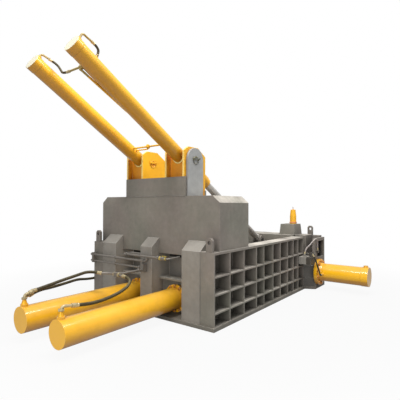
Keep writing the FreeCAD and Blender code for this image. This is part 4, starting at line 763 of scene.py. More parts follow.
def weld_tree():
    """A rippled bead along every edge of the mesh it is put on."""
    bench = shape_tree("weld_bead", [("Bead", "NodeSocketFloat", 0.006),
                                     ("Step", "NodeSocketFloat", 0.016),
                                     ("Seed", "NodeSocketInt", 5),
                                     ("Material", "NodeSocketMaterial", None)], True)
    given = bench.given
    line = bench.add("GeometryNodeMeshToCurve", {"Mesh": given["Geometry"]}).outputs[0]
    line = bench.add("GeometryNodeResampleCurve", {"Curve": line, "Length": given["Step"]},
                     mode="LENGTH").outputs[0]
    swell = bench.add("FunctionNodeRandomValue", {"Seed": given["Seed"]}, data_type="FLOAT")
    swell.inputs[2].default_value = 0.78
    swell.inputs[3].default_value = 1.2
    section = bench.add("GeometryNodeCurvePrimitiveCircle", {"Resolution": 6,
                                                             "Radius": given["Bead"]})
    bead = bench.add("GeometryNodeCurveToMesh", {"Curve": line,
                                                 "Profile Curve": section.outputs[0],
                                                 "Scale": swell.outputs[1],
                                                 "Fill Caps": True})
    smoothed = bench.add("GeometryNodeSetShadeSmooth", {"Geometry": bead.outputs[0]})
    return finish_tree(bench, smoothed.outputs[0])


def clamp_row_tree():
    """Pipe clamps in a row along X: blocks with two screws each on their +Y faces."""
    bench = shape_tree("clamp_row", [("Count", "NodeSocketInt", 2),
                                     ("Pitch", "NodeSocketFloat", 0.4),
                                     ("Width", "NodeSocketFloat", 0.036),
                                     ("Height", "NodeSocketFloat", 0.066),
                                     ("Depth", "NodeSocketFloat", 0.030),
                                     ("Material", "NodeSocketMaterial", None)])
    given = bench.given
    row = bench.add("GeometryNodeMeshLine", {"Count": given["Count"],
                                             "Offset": bench.vector(x=given["Pitch"])},
                    mode="OFFSET")
    size = bench.vector(given["Width"], given["Depth"], given["Height"])
    block = bench.add("GeometryNodeMeshCube", {"Size": size, "Vertices X": 2, "Vertices Y": 2,
                                               "Vertices Z": 2})
    screw = bench.add("GeometryNodeMeshCylinder", {"Vertices": 6, "Radius": 0.008,
                                                   "Depth": 0.012})
    clamp = bench.add("GeometryNodeJoinGeometry")
    bench.tree.links.new(block.outputs[0], clamp.inputs[0])
    face = bench.maths("MULTIPLY", given["Depth"], 0.5)
    for share in (-0.36, 0.36):
        height = bench.maths("MULTIPLY", given["Height"], share)
        turned = bench.add("GeometryNodeTransform", {
            "Geometry": screw.outputs[0], "Rotation": (math.pi / 2, 0, 0),
            "Translation": bench.vector(y=face, z=height)})
        bench.tree.links.new(turned.outputs[0], clamp.inputs[0])
    placed = bench.add("GeometryNodeInstanceOnPoints", {"Points": row.outputs[0],
                                                        "Instance": clamp.outputs[0]})
    return finish_tree(bench, placed.outputs[0])


def grown(tree, values, source=None, place=None):
    """The plain mesh that a shape tree makes with these input values."""
    start = source or bpy.data.meshes.new("start")
    carrier = bpy.data.objects.new("carrier", start)
    bpy.context.scene.collection.objects.link(carrier)
    modifier = carrier.modifiers.new("shape", "NODES")
    modifier.node_group = bpy.data.node_groups[tree]
    for item in modifier.node_group.interface.items_tree:
        if item.item_type == "SOCKET" and item.in_out == "INPUT" and item.name in values:
            modifier[item.identifier] = values[item.name]
    view = bpy.context.evaluated_depsgraph_get()
    mesh = bpy.data.meshes.new_from_object(carrier.evaluated_get(view))
    bpy.data.objects.remove(carrier)
    bpy.data.meshes.remove(start)
    if place:
        mesh.transform(place)
    return mesh


def joined(name, meshes):
    """One mesh from several, which are used up."""
    bm = bmesh.new()
    for mesh in meshes:
        bm.from_mesh(mesh)
    whole = bpy.data.meshes.new(name)
    bm.to_mesh(whole)
    bm.free()
    for mesh in meshes:
        bpy.data.meshes.remove(mesh)
    return whole


def lines_mesh(name, lines):
    """A mesh of loose edges, one chain for each list of points."""
    verts = []
    edges = []
    for line in lines:
        first = len(verts)
        verts.extend(line)
        edges.extend((first + i, first + i + 1) for i in range(len(line) - 1))
    mesh = bpy.data.meshes.new(name)
    mesh.from_pydata(verts, edges, [])
    return mesh


def circle_line(centre, direction, radius, sides=40):
    """A closed chain round direction."""
    place = aim(centre, direction)
    return [place @ Vector((radius * math.cos(2 * math.pi * i / sides),
                            radius * math.sin(2 * math.pi * i / sides), 0))
            for i in range(sides + 1)]


# ------------------------------------------------------------------ operators

def mix_greys(chips):
    """Paint of the box, the tower and what is welded to them."""
    plate = dict(rough=0.52, specks=0.5, runs=0.08, shade_and_dirt=0.72, reach=0.22, tint=0.6)
    make_paint("body_grey", chips.body, dust_and_light=0.35, wear=0.45, **plate)
    # The walls, the tower and the seats take a strong pale colour on what faces up: a dusting, and
    # painted light on the tops and flanges.
    make_paint("wall_grey", chips.body, light=1.20, deep=0.86, dust_and_light=0.95,
               dust_and_light_chip=linear(216, 208, 195), wear=0.6, **plate)
    # The bulkhead's top is painted near black: a painted shadow under the tower.
    make_paint("bulkhead_mixed", chips.body, rough=0.55, runs=0.08, shade_and_dirt=0.72, reach=0.22,
               wear=0.45, over=past((0, 0, 1), BULKHEAD_SHADOW_Z, linear(36, 32, 28)))
    make_paint("cap_grey", chips.body, rough=0.55, specks=0.9, light=1.44, deep=1.08,
               dust_and_light=0.15, shade_and_dirt=0.4, wear=1.0, wear_chip=linear(196, 192, 182), radius=0.008)
    make_paint("lug_grey", chips.lug, rough=0.5, specks=0.9, speck_chip=shade(chips.lug, 0.45),
               wear=0.4, shade_and_dirt=0.5)
    # The gusset is painted a darker grey than the body: painted shade.
    make_paint("gusset_grey", shade(chips.body, 0.62), rough=0.55, specks=0.4, wear=1.0,
               wear_chip=linear(176, 170, 160), radius=0.008, shade_and_dirt=0.8, reach=0.25)
    # The valve block has a pale top and a dark front face: painted light on the top and painted
    # shade on the front.
    make_paint("block_mixed", chips.body, rough=0.5, light=1.3, deep=0.95, dust_and_light=0.9, wear=0.8,
               shade_and_dirt=0.5, over=past((0, -1, 0), -BLOCK_FACE_Y, linear(70, 64, 56)))
    make_paint("weld_grey", chips.body, rough=0.5, metallic=0.1, light=1.35, deep=0.85,
               shade_and_dirt=0.35, reach=0.03, radius=0.002)
    # Near-black paint of the sheet behind the side frame's window: painted shade.
    make_paint("inner_dark", linear(40, 38, 36), rough=0.8, shade_and_dirt=0.5, reach=0.2, shine=0.2)


def mix_goldens(chips):
    """Glossy paint of the cylinders, and the duller coat of their brackets."""
    # The cylinders are darkened on what faces down and in their corners: painted shade.
    gloss = dict(rough=0.34, coat=0.9, shine=0.25, light=1.08, deep=0.86, shade_and_dirt=0.75,
                 shade_and_dirt_chip=linear(150, 84, 22), reach=0.16, runs=0.06, wear=0.55,
                 wear_chip=linear(255, 222, 140), radius=0.007, grain_height=0.05,
                 wave_height=0.6, bump=0.002, under=0.55)
    # The pale colour on the barrels' upper sides is a painted highlight, as well as a dusting.
    make_paint("golden", chips.yellow, dust_and_light=0.13, dust_and_light_chip=linear(255, 232, 160),
               over=facing((-1, 0, 0), linear(255, 190, 20)), **gloss)
    # The lid cylinders' end caps are painted pale cream: a painted highlight on the caps that face
    # the light, as well as a dusting.
    cap_face = LID_CAP_REACH - TRUNNION.dot(lid_way())
    make_paint("lid_golden", chips.yellow, dust_and_light=0.06, dust_and_light_chip=linear(255, 226, 150),
               over=past(-lid_way(), cap_face, linear(250, 240, 206)), **gloss)
    plate = dict(rough=0.42, coat=0.15, shine=0.3, light=1.14, deep=0.9,
                 shade_and_dirt_chip=linear(158, 72, 16), reach=0.30, runs=0.15, wear=0.9,
                 wear_chip=linear(255, 226, 150), radius=0.010)
    # The bracket plates are painted pale on their edges and dark orange deep in their corners:
    # painted highlight and painted shade.
    make_paint("golden_plate", chips.yellow, shade_and_dirt=0.95,
               over=thin_edges(linear(255, 224, 132)), **plate)
    # The saddles are painted a darker orange than the cylinders, and darkened in their corners:
    # painted shade in the recess between the bracket plates.
    make_paint("saddle_mixed", linear(255, 170, 46), shade_and_dirt=0.82,
               over=beyond(SADDLE_PALE_Y, chips.lug), **plate)
    # The rim beads are painted paler and brighter than the saddles round them: a painted highlight
    # along the edge where each cylinder meets its saddle.
    make_paint("saddle_rim", linear(255, 232, 150), rough=0.4, shade_and_dirt=0.1, reach=0.02, light=1.2,
               deep=1.0, shade_and_dirt_chip=linear(190, 110, 30), radius=0.003)


def mix_small_paints(chips):
    """Paint of the lock cylinder, the lid pipes, the valve, the keepers and the bolts."""
    # The lid pipes are darkened on what faces down: painted shade.
    make_paint("lid_pipe_mixed", chips.yellow, rough=0.4, shade_and_dirt=0.7, reach=0.05,
               shade_and_dirt_chip=linear(150, 92, 28), radius=0.002, under=0.15,
               over=past((-1, 0, 0), -LID_PIPE_PALE_X, linear(168, 146, 88)))
    make_paint("lock_mixed", chips.yellow, rough=0.4, light=1.08, deep=0.9, shade_and_dirt=0.7,
               shade_and_dirt_chip=linear(120, 96, 30), reach=0.06, wear=0.3, radius=0.003,
               over=past((0, 0, 1), LOCK_CAP_Z, linear(216, 208, 208)))
    # On the bearing plates the keepers are painted darker grey, and darkened in their corners:
    # painted shade round the pins.
    make_paint("keeper_mixed", chips.yellow, rough=0.45, shade_and_dirt=0.55, reach=0.022,
               shade_and_dirt_chip=linear(190, 112, 30), radius=0.003,
               over=beyond(KEEPER_SHADE_Y, linear(104, 104, 98)))
    make_paint("valve_yellow", linear(216, 190, 84), rough=0.4, shade_and_dirt=0.6, reach=0.03,
               shade_and_dirt_chip=linear(96, 72, 30), radius=0.002)
    # The bolts are darkened deep in the gaps between them: painted shade.
    make_paint("bolt_orange", chips.bolt, rough=0.42, light=1.4, deep=0.7, shade_and_dirt=1.0,
               reach=0.03, shade_and_dirt_chip=linear(64, 38, 14), wear=1.0,
               wear_chip=linear(255, 236, 160), radius=0.003)
    make_paint("marker_red", chips.ring, rough=0.55, shade_and_dirt=0.4, radius=0.002, reach=0.03)


def mix_steels(chips):
    """Bare, plated and oiled steel."""
    rust = shade(chips.rust, 1.0)
    make_paint("pipe_dull", chips.pipe, rough=0.44, metallic=0.2, light=1.4, deep=1.0,
               shade_and_dirt=0.4, shade_and_dirt_chip=linear(54, 48, 42), radius=0.003, reach=0.05)
    make_paint("fitting_pale", chips.fitting, rough=0.38, metallic=0.55, light=1.15, deep=0.7,
               shade_and_dirt=0.6, shade_and_dirt_chip=linear(88, 70, 46), radius=0.002, reach=0.04)
    make_paint("neck_mixed", chips.fitting, rough=0.42, metallic=0.3, shade_and_dirt=0.6,
               shade_and_dirt_chip=linear(88, 66, 40), reach=0.05, radius=0.003,
               over=in_turn(below(NECK_YELLOW_Z, 0.012, chips.yellow),
                            beyond(WALL_PIPE_Y, chips.pipe)))
    make_paint("steel_worn", chips.worn, rough=0.40, metallic=0.75, runs=0.3, shade_and_dirt=0.6,
               shade_and_dirt_chip=rust, wear=0.8, specks=0.4, speck_chip=rust)
    make_paint("steel_dark", chips.dark, rough=0.42, metallic=0.6, shade_and_dirt=0.5,
               shade_and_dirt_chip=linear(34, 30, 26), radius=0.003, reach=0.05, wear=0.6)
    make_paint("rod_oiled", linear(206, 200, 192), rough=0.26, metallic=0.45, light=1.1,
               deep=0.8, shade_and_dirt=0.35, shade_and_dirt_chip=linear(60, 54, 48), runs=0.05,
               grain_height=0.1, wave_height=0.1)


class BALER_OT_paints(bpy.types.Operator):
    """Mix every paint, metal and rubber"""
    bl_idname = "baler.paints"
    bl_label = "Paints"

    def execute(self, context):
        chips = context.scene.baler_colours
        make_effects()
        mix_greys(chips)
        mix_goldens(chips)
        mix_small_paints(chips)
        mix_steels(chips)
        # The hoses are paler on what faces up; on the arch hose this is almost white over a dark
        # hose: a painted highlight, as well as a dusting.
        make_hose_rubber("rubber_cover", chips.hose, linear(156, 144, 106), 0.45)
        make_hose_rubber("hose_pale", linear(168, 156, 150), linear(246, 238, 232), 1.0)
        return {"FINISHED"}


class BALER_OT_frame_paint(bpy.types.Operator):
    """Paint the box, the tower and everything welded to them"""
    bl_idname = "baler.frame_paint"
    bl_label = "Frame paint"

    def execute(self, context):
        paint_nodes("wall_grey", "right_side_wall", "left_side_wall", "tower", "channel_cover",
                    "cylinder_seats")
        paint_nodes("body_grey", "base_frame", "trunnion_shield", "hinge_beam", "side_frame",
                    "end_wall", "gate_frame", "gate", "lock_mount", "lid_panel", "lid_lugs",
                    "lift_lugs")
        paint_nodes("bulkhead_mixed", "bulkhead")
        paint_nodes("gusset_grey", "gusset")
        paint_nodes("cap_grey", "end_posts")
        paint_nodes("lug_grey", "trunnion_lugs")
        paint_nodes("steel_worn", "chamber_floor", "pusher", "side_ram", "lock_wedge",
                    "lid_bolt")
        paint_nodes("steel_dark", "hinge_pin", "rod_pins", "main_glands", "side_gland")
        paint_nodes("keeper_mixed", "trunnion_keepers")
        return {"FINISHED"}


class BALER_OT_cylinder_paint(bpy.types.Operator):
    """Paint the cylinders, their brackets and the hard pipes"""
    bl_idname = "baler.cylinder_paint"
    bl_label = "Cylinder paint"

    def execute(self, context):
        paint_nodes("golden", "right_main_barrel", "left_main_barrel", "side_barrel",
                    "gate_barrel", "lid_glands")
        paint_nodes("lid_golden", "right_lid_barrel", "left_lid_barrel")
        paint_nodes("lid_pipe_mixed", "lid_pipes")
        paint_nodes("lock_mixed", "lock_barrel")
        paint_nodes("golden_plate", "bracket_plates")
        paint_nodes("saddle_mixed", "right_trunnion_saddle", "left_trunnion_saddle")
        paint_nodes("rod_oiled", "right_lid_rod", "left_lid_rod", "right_main_rod",
                    "left_main_rod", "side_rod", "gate_rod")
        paint_nodes("pipe_dull", "end_pipes")
        paint_nodes("block_mixed", "valve_block")
        paint_nodes("neck_mixed", "cap_fittings")
        return {"FINISHED"}


def bolt_ring(place, count, circle, across, washer, seed):
    """One flange's bolts, standing at place with their heads along its Z axis."""
    return grown("bolt_ring", {"Count": count, "Circle": circle, "Across": across,
                               "Height": BOLT_HEAD, "Washer": washer, "Seed": seed,
                               "Material": bpy.data.materials["bolt_orange"]}, place=place)


class BALER_OT_flange_bolts(bpy.types.Operator):
    """Rings of bolts on the cylinder flanges"""
    bl_idname = "baler.flange_bolts"
    bl_label = "Flange bolts"

    def execute(self, context):
        sizes = context.scene.baler_sizes
        bolt_ring_tree()
        main_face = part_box("main_bolts")[1].x
        rings = [bolt_ring(aim((main_face, y, MAIN_Z), (-1, 0, 0)), MAIN_BOLTS,
                           MAIN_BOLT_CIRCLE, sizes.main_bolt, sizes.washer, 3)
                 for y in (-MAIN_Y, MAIN_Y)]
        add_piece("main_flange_bolts", joined("main_flange_bolts", rings), "bolt_orange",
                  "root", ("main_bolts",))
        side_face = Vector((SIDE_AXIS.x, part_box("side_bolts")[1].y, SIDE_AXIS.z))
        ring = bolt_ring(aim(side_face, (0, -1, 0)), SIDE_BOLTS, SIDE_BOLT_CIRCLE,
                         sizes.side_bolt, sizes.washer, 8)
        add_piece("side_flange_bolts", ring, "bolt_orange", "root", ("side_bolts",))
        return {"FINISHED"}


def tower_seams():
    """The tower's foot on the walls, and the shield's foot on its deck."""
    foot = WALL_TOP + BEAD_LIFT
    deck = DECK_Z + BEAD_LIFT
    near = TOWER_LOW.x - BEAD_LIFT
    far = TOWER_HIGH.x + BEAD_LIFT
    lines = [[(near, y, foot), (far, y, foot)] for y in (TOWER_LOW.y, TOWER_HIGH.y)]
    lines.append([(far, -BACK_SEAM_Y, foot), (far, BACK_SEAM_Y, foot)])
    for x in (SHIELD_LOW.x - BEAD_LIFT, SHIELD_HIGH.x):
        lines.append([(x, SHIELD_LOW.y, deck), (x, SHIELD_HIGH.y, deck)])
    return lines


def side_seams(side):
    """One side's bearing plate, bracket plates, end post and wall foot."""
    deck = DECK_Z + BEAD_LIFT
    outer = side * LUG_HIGH.y
    inner = side * (LUG_HIGH.y - LUG_THICKNESS)
    lines = [[(LUG_LOW.x, outer, deck), (LUG_HIGH.x, outer, deck), (LUG_HIGH.x, inner, deck)]]
    for y in BRACKET_FACES:
        lines.append([(SHIELD_HIGH.x + 2 * BEAD_LIFT, side * y, deck),
                      (BRACKET_HIGH.x, side * y, deck)])
    post = NEAR_X - BEAD_LIFT / 2
    lines.append([(post, side * INNER_Y, FOOT_Z + 2 * BEAD_LIFT),
                  (post, side * INNER_Y, WALL_TOP - 3 * BEAD_LIFT)])
    lines.append([(NEAR_X + BEAD_LIFT, side * OUTER_Y, FOOT_Z + BEAD_LIFT),
                  (CHANNEL_X, side * OUTER_Y, FOOT_Z + BEAD_LIFT)])
    return lines


def seat_seams(y0, y1):
    """A cylinder seat's plate, its web, and the posts above it."""
    near = SEAT_LOW.x + BEAD_LIFT
    far = SEAT_HIGH.x - BEAD_LIFT
    web = MAIN_FRONT_X - BEAD_LIFT
    plate = SEAT_HIGH.z - SEAT_PLATE
    lines = [[(near, y, z), (far, y, z)] for z in (plate, SEAT_HIGH.z) for y in (y0, y1)]
    for y in (y0, y1):
        lines.append([(web, y, FOOT_Z + 2 * BEAD_LIFT), (web, y, plate - 2 * BEAD_LIFT)])
    for y in (y0, y1):
        lines.append([(SEAT_HIGH.x, y, SEAT_HIGH.z + 2 * BEAD_LIFT),
                      (SEAT_HIGH.x, y, POST_SEAM_TOP)])
    return lines


def frame_seams():
    """Every seam of the box and the tower that has a bead."""
    lines = tower_seams()
    for side in (-1, 1):
        lines += side_seams(side)
    for y0, y1 in SEATS:
        lines += seat_seams(y0, y1)
    for y0, y1 in POSTS:
        lines.append([(NEAR_X, y0, FOOT_Z + BEAD_LIFT), (NEAR_X, y1, FOOT_Z + BEAD_LIFT)])
    near = MOUNT_LOW.x - BEAD_LIFT
    far = MOUNT_HIGH.x + BEAD_LIFT
    right = MOUNT_LOW.y - BEAD_LIFT
    foot = MOUNT_LOW.z + BEAD_LIFT
    lines.append([(near, MOUNT_HIGH.y, foot), (near, right, foot), (far, right, foot),
                  (far, MOUNT_HIGH.y, foot)])
    return lines


def cell_seams(side):
    """Beads round the back of every cell of a ribbed wall."""
    lines = []
    y = side * (OUTER_Y - RIB_DEPTH + BEAD_LIFT)
    x = NEAR_X
    for bay in RIB_BAYS:
        x0 = x + RIB_HALF
        x1 = x + bay - RIB_HALF
        for low, high in zip(SHELVES, SHELVES[1:]):
            z0 = low if low == SHELVES[0] else low + RIB_HALF
            z1 = high if high == SHELVES[-1] else high - RIB_HALF
            lines.append([(x0, y, z0), (x1, y, z0), (x1, y, z1), (x0, y, z1), (x0, y, z0)])
        x += bay
    return lines


def add_beads(name, lines, paint, body, slot, **values):
    """A piece made of weld beads along these lines."""
    values["Material"] = bpy.data.materials[paint]
    return add_piece(name, grown("weld_bead", values, lines_mesh(name, lines)), paint, body)


class BALER_OT_welds(bpy.types.Operator):
    """Weld beads along the seams of the box, the tower and the cylinders"""
    bl_idname = "baler.welds"
    bl_label = "Welds"

    def execute(self, context):
        bead = context.scene.baler_sizes.weld
        weld_tree()
        add_beads("frame_welds", frame_seams(), "weld_grey", "root", "body_paint", Bead=bead)
        add_beads("cell_welds", cell_seams(-1) + cell_seams(1), "weld_grey", "root",
                  "body_paint", Bead=bead * 0.9, Step=0.03)
        rings = [circle_line(lid_place(GLAND_SEAM_REACH, side * LID_Y, 0), lid_way(),
                             GLAND_SEAM_RADIUS) for side in (-1, 1)]
        add_beads("lid_cylinder_welds", rings, "golden", "lid_cylinders", "yellow_paint",
                  Bead=bead * 0.8)
        rings = [circle_line((MAIN_FRONT_X - MAIN_SEAM, y, MAIN_Z), (1, 0, 0),
                             MAIN_SEAM_RADIUS) for y in (-MAIN_Y, MAIN_Y)]
        rings += [circle_line(SIDE_AXIS - Vector((0, reach, 0)), (0, -1, 0), radius)
                  for reach, radius in SIDE_SEAMS]
        add_beads("cylinder_welds", rings, "golden", "root", "yellow_paint", Bead=bead)
        return {"FINISHED"}


Hose = namedtuple("Hose", "body diameter length stiffness lay route")

# The hoses' routes, in metres, from one fitting to the other. Five repeat the solids' routes. The
# heights of the four middle points of left_cap_hose and of wall_hose come from a least-squares fit
# to the photograph, and five of those eight were then altered, by up to 6 mm. The last two
# points of wall_hose were moved in by 4.5 mm, to stay in the solids' box.
HOSES = {
    "left_cap_hose": Hose("root", 0.042, 0.972, "stiff", "loose", (
        (-3.4341, 0.403, 0.5879), (-3.2638, 0.403, 0.6125), (-3.0402, 0.3984, 0.6542),
        (-2.807, 0.3883, 0.6904), (-2.6285, 0.3673, 0.724), (-2.5191, 0.2563, 0.692))),
    "right_cap_hose": Hose("root", 0.042, 1.132, "stiff", "loose", (
        (-3.3627, -0.3933, 0.5287), (-3.1627, -0.3823, 0.4956), (-2.9023, -0.3638, 0.4996),
        (-2.6578, -0.3414, 0.5351), (-2.4745, -0.3094, 0.593), (-2.4081, -0.23, 0.6638),
        (-2.4226, -0.1196, 0.6758))),
    "wall_hose": Hose("root", 0.042, 1.857, "stiff", "taut", (
        (-3.438, 0.456, 0.5308), (-3.2881, 0.5339, 0.5530), (-3.0196, 0.6919, 0.5150),
        (-2.6548, 0.8777, 0.4950), (-2.2938, 1.1312, 0.4580), (-1.985, 1.2965, 0.388),
        (-1.815, 1.2965, 0.388))),
    "arch_hose": Hose("root", 0.024, 0.687, "medium", "loose", (
        (1.0465, -1.3688, 0.7266), (1.0691, -1.3778, 0.8132), (1.1486, -1.4391, 0.8899),
        (1.2598, -1.4929, 1.0033), (1.3679, -1.5035, 0.984), (1.387, -1.503, 0.88),
        (1.387, -1.503, 0.77))),
    "drop_hose": Hose("root", 0.030, 0.506, "medium", "hanging", (
        (1.087, -1.515, 0.708), (1.077, -1.5769, 0.6301), (1.1108, -1.5911, 0.5041),
        (1.1404, -1.623, 0.3988), (1.1615, -1.625, 0.315), (1.2515, -1.625, 0.315))),
    "left_lid_hose": Hose("lid_cylinders", 0.030, 0.500, "medium", "hanging", (
        (-3.2557, 0.367, 3.5509), (-3.1896, 0.3129, 3.4989), (-3.2116, 0.19, 3.3945),
        (-3.2255, 0.115, 3.3183), (-3.2255, -0.025, 3.3183))),
    "right_lid_hose": Hose("lid_cylinders", 0.030, 0.209, "medium", "loose", (
        (-3.1834, -0.432, 3.5859), (-3.1161, -0.432, 3.5576), (-3.0883, -0.432, 3.4966),
        (-3.1262, -0.432, 3.4307))),
}


def hose_line(name, points, radius, paint):
    """The hose's cover: one open spline along its points, with round section."""
    curve = bpy.data.curves.new(name, "CURVE")
    curve.dimensions = "3D"
    spline = curve.splines.new("NURBS")
    spline.points.add(len(points) - 1)
    for spot, point in zip(spline.points, points):
        spot.co = (*point, 1.0)
    spline.order_u = 3
    spline.use_endpoint_u = True
    spline.resolution_u = 14
    curve.bevel_depth = radius
    curve.bevel_resolution = 5
    curve.use_fill_caps = True
    curve.materials.append(bpy.data.materials[paint])
    piece = bpy.data.objects.new(name + "_cover", curve)
    bpy.context.scene.collection.objects.link(piece)
    return piece


def hose_end(stock, start, way, radius, longest):
    """A crimped ferrule over the hose's end, with the nut that holds it. It covers under half
    of the way to the route's next point."""
    length = min(longest, 0.45 * way.length)
    outer = radius * 1.16
    groove = outer * 0.93
    step = length / 12
    profile = [(radius * 1.02, length), (outer, length - step * 0.4)]
    for crimp in range(4):
        at = length - step * (2.0 + 2.2 * crimp)
        profile += [(outer, at + step * 0.6), (groove, at + step * 0.3),
                    (groove, at - step * 0.5), (outer, at - step * 0.8)]
    profile += [(outer, step), (outer * 0.9, 0), (0, 0)]
    place = aim(start, way)
    stock.turned(profile, place, 28)
    stock.hexagon(radius * 2.4, radius * 0.9, place, -radius * 0.7)


class BALER_OT_hoses(bpy.types.Operator):
    """Rubber hoses with their crimped ends"""
    bl_idname = "baler.hoses"
    bl_label = "Hoses"

    def execute(self, context):
        ferrule = context.scene.baler_sizes.ferrule
        for name, hose in HOSES.items():
            points = [Vector(point) for point in hose.route]
            radius = hose.diameter / 2
            cover = hose_line(name, points, radius,
                              "hose_pale" if name == "arch_hose" else "rubber_cover")
            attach(cover, hose.body)
            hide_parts(name)
            stock = Stock()
            hose_end(stock, points[0], points[1] - points[0], radius, ferrule)
            hose_end(stock, points[-1], points[-2] - points[-1], radius, ferrule)
            ends = add_piece(name + "_ends", stock.mesh(name + "_ends", 28), "fitting_pale",
                             hose.body)
        return {"FINISHED"}


# Nuts on the pipes across the near end: their Y, the pipe's height, and the size across flats.
ACROSS_NUTS = ((1.225, UPPER_PIPE_Z, 0.054), (1.225, LOWER_PIPE_Z, 0.044),
               (-0.010, UPPER_PIPE_Z, 0.050), (0.075, LOWER_PIPE_Z, 0.042),
               (-0.318, TOP_PIPE_Z, 0.056), (0.360, TOP_PIPE_Z, 0.050),
               (0.640, UPPER_PIPE_Z, 0.048), (0.640, LOWER_PIPE_Z, 0.040))
FEED_NUTS_X = (-2.020, -2.360)
NUT_HEIGHT = 0.030


def pipe_nuts():
    """Nuts along the pipes across the near end and on the pipe that feeds the tee."""
    stock = Stock()
    for y, z, size in ACROSS_NUTS:
        stock.hexagon(size, NUT_HEIGHT, aim((PIPE_X, y, z), (0, 1, 0)))
    for x in FEED_NUTS_X:
        stock.hexagon(0.052, NUT_HEIGHT, aim((x, TEE.y, TEE.z), (-1, 0, 0)))
    return stock.mesh("pipe_nuts")


def stop_valve():
    """The stop valve in the top pipe: two nuts, a round body, and a lever on its stem."""
    stock = Stock()
    start = Vector((PIPE_X, -0.338, TOP_PIPE_Z))
    right = Vector((0, -1, 0))
    stock.hexagon(0.050, 0.026, aim(start, right))
    stock.turned([(0, 0), (0.020, 0), (0.024, 0.006), (0.024, 0.060), (0.020, 0.068),
                  (0, 0.068)], aim(start + 0.028 * right, right))
    stock.hexagon(0.044, 0.022, aim(start + 0.098 * right, right))
    stem = start + 0.062 * right
    stock.bar(stem + Vector((0, 0, 0.020)), stem + Vector((0, 0, 0.035)), 0.008)
    stock.block(stem + Vector((-0.008, -0.070, 0.033)), stem + Vector((0.008, 0.012, 0.038)),
                0.001)
    return stock.mesh("stop_valve")


def cap_and_tee_nuts():
    """The nuts under the cap elbows and on both arms of the tee."""
    stock = Stock()
    for side in (1, -1):
        port = Vector((CAP_PORT.x, side * CAP_PORT.y, CAP_PORT.z))
        stock.hexagon(0.064, 0.022, aim(port, (0, 0, 1)), 0.056)
    for side in (1, -1):
        arm = TEE + Vector((0, side * 0.025, 0))
        stock.hexagon(0.058, 0.034, aim(arm, (0, side, 0)))
    return stock.mesh("cap_and_tee_nuts")


def wall_pipe_clamps():
    """Clamps that hold the long pipe to the first two ribs of the left wall."""
    return grown("clamp_row", {"Count": 2, "Pitch": RIB_BAYS[1], "Width": 0.044,
                               "Height": 0.092, "Depth": 0.034,
                               "Material": bpy.data.materials["steel_dark"]},
                 place=Matrix.Translation((NEAR_X + RIB_BAYS[0], CLAMP_Y, CLAMP_Z)))


class BALER_OT_pipe_fittings(bpy.types.Operator):
    """Nuts, clamps and the stop valve on the hard pipes"""
    bl_idname = "baler.pipe_fittings"
    bl_label = "Pipe fittings"

    def execute(self, context):
        clamp_row_tree()
        add_piece("pipe_nuts", pipe_nuts(), "pipe_dull", "root")
        add_piece("stop_valve", stop_valve(), "valve_yellow", "root")
        add_piece("cap_and_tee_nuts", cap_and_tee_nuts(), "fitting_pale", "root")
        add_piece("wall_pipe_clamps", wall_pipe_clamps(), "steel_dark", "root")
        return {"FINISHED"}


def saddle_edge(side):
    """The edge where a lid cylinder lies in the front face of its saddle, from end to end. The
    slanting cylinder cuts that upright face in an ellipse."""
    front = SADDLE_LOW.x - 4 * BEAD_LIFT
    axis_z = TRUNNION.z + (TRUNNION.x - front) * math.tan(LID_SLOPE)
    width = LID_BARREL_RADIUS
    drop = LID_BARREL_RADIUS / math.cos(LID_SLOPE)
    steps = 24
    line = []
    for i in range(steps + 1):
        turn = math.pi * (0.06 + 0.88 * i / steps)
        line.append((front, side * LID_Y + width * math.cos(turn),
                     axis_z - drop * math.sin(turn)))
    return line


class BALER_OT_trunnion_trim(bpy.types.Operator):
    """Rings round the trunnion ends, and the beads where the cylinders lie in their saddles"""
    bl_idname = "baler.trunnion_trim"
    bl_label = "Trunnion trim"

    def execute(self, context):
        stock = Stock()
        ring = [(0.049, 0), (0.060, 0), (0.064, 0.004), (0.060, 0.007), (0.052, 0.007),
                (0.049, 0.004), (0.049, 0)]
        for side in (-1, 1):
            for y, way in ((LUG_HIGH.y, 1), (BRACKET_FACES[0], -1)):
                stock.turned(ring, aim((TRUNNION.x, side * y, TRUNNION.z),
                                       (0, side * way, 0)), 40)
        add_piece("trunnion_rings", stock.mesh("trunnion_rings"), "keeper_mixed", "root")
        add_beads("saddle_rims", [saddle_edge(side) for side in (-1, 1)], "saddle_rim",
                  "lid_cylinders", "yellow_paint", Bead=0.012, Step=0.012)
        return {"FINISHED"}


class BALER_OT_lid_feed_pipe(bpy.types.Operator):
    """Hard pipe that hangs from the tee and closes on the right lid cylinder"""
    bl_idname = "baler.lid_feed_pipe"
    bl_label = "Lid feed pipe"

    def execute(self, context):
        radius = context.scene.baler_sizes.feed_pipe / 2
        tee = lid_place(*FEED_TOP)
        bend = lid_place(*FEED_BEND)
        foot = lid_place(*FEED_FOOT)
        stock = Stock()
        stock.bar(tee, bend, radius)
        stock.bar(bend, foot, radius)
        elbow = [(0, -0.017), (0.012, -0.015), (0.017, -0.006), (0.017, 0.006),
                 (0.012, 0.015), (0, 0.017)]
        stock.turned(elbow, aim(bend, foot - bend), 24)
        stock.hexagon(0.036, 0.016, aim(tee, bend - tee), 0.012)
        add_piece("lid_feed_pipe", stock.mesh("lid_feed_pipe", 40), "lid_pipe_mixed",
                  "lid_cylinders")
        return {"FINISHED"}


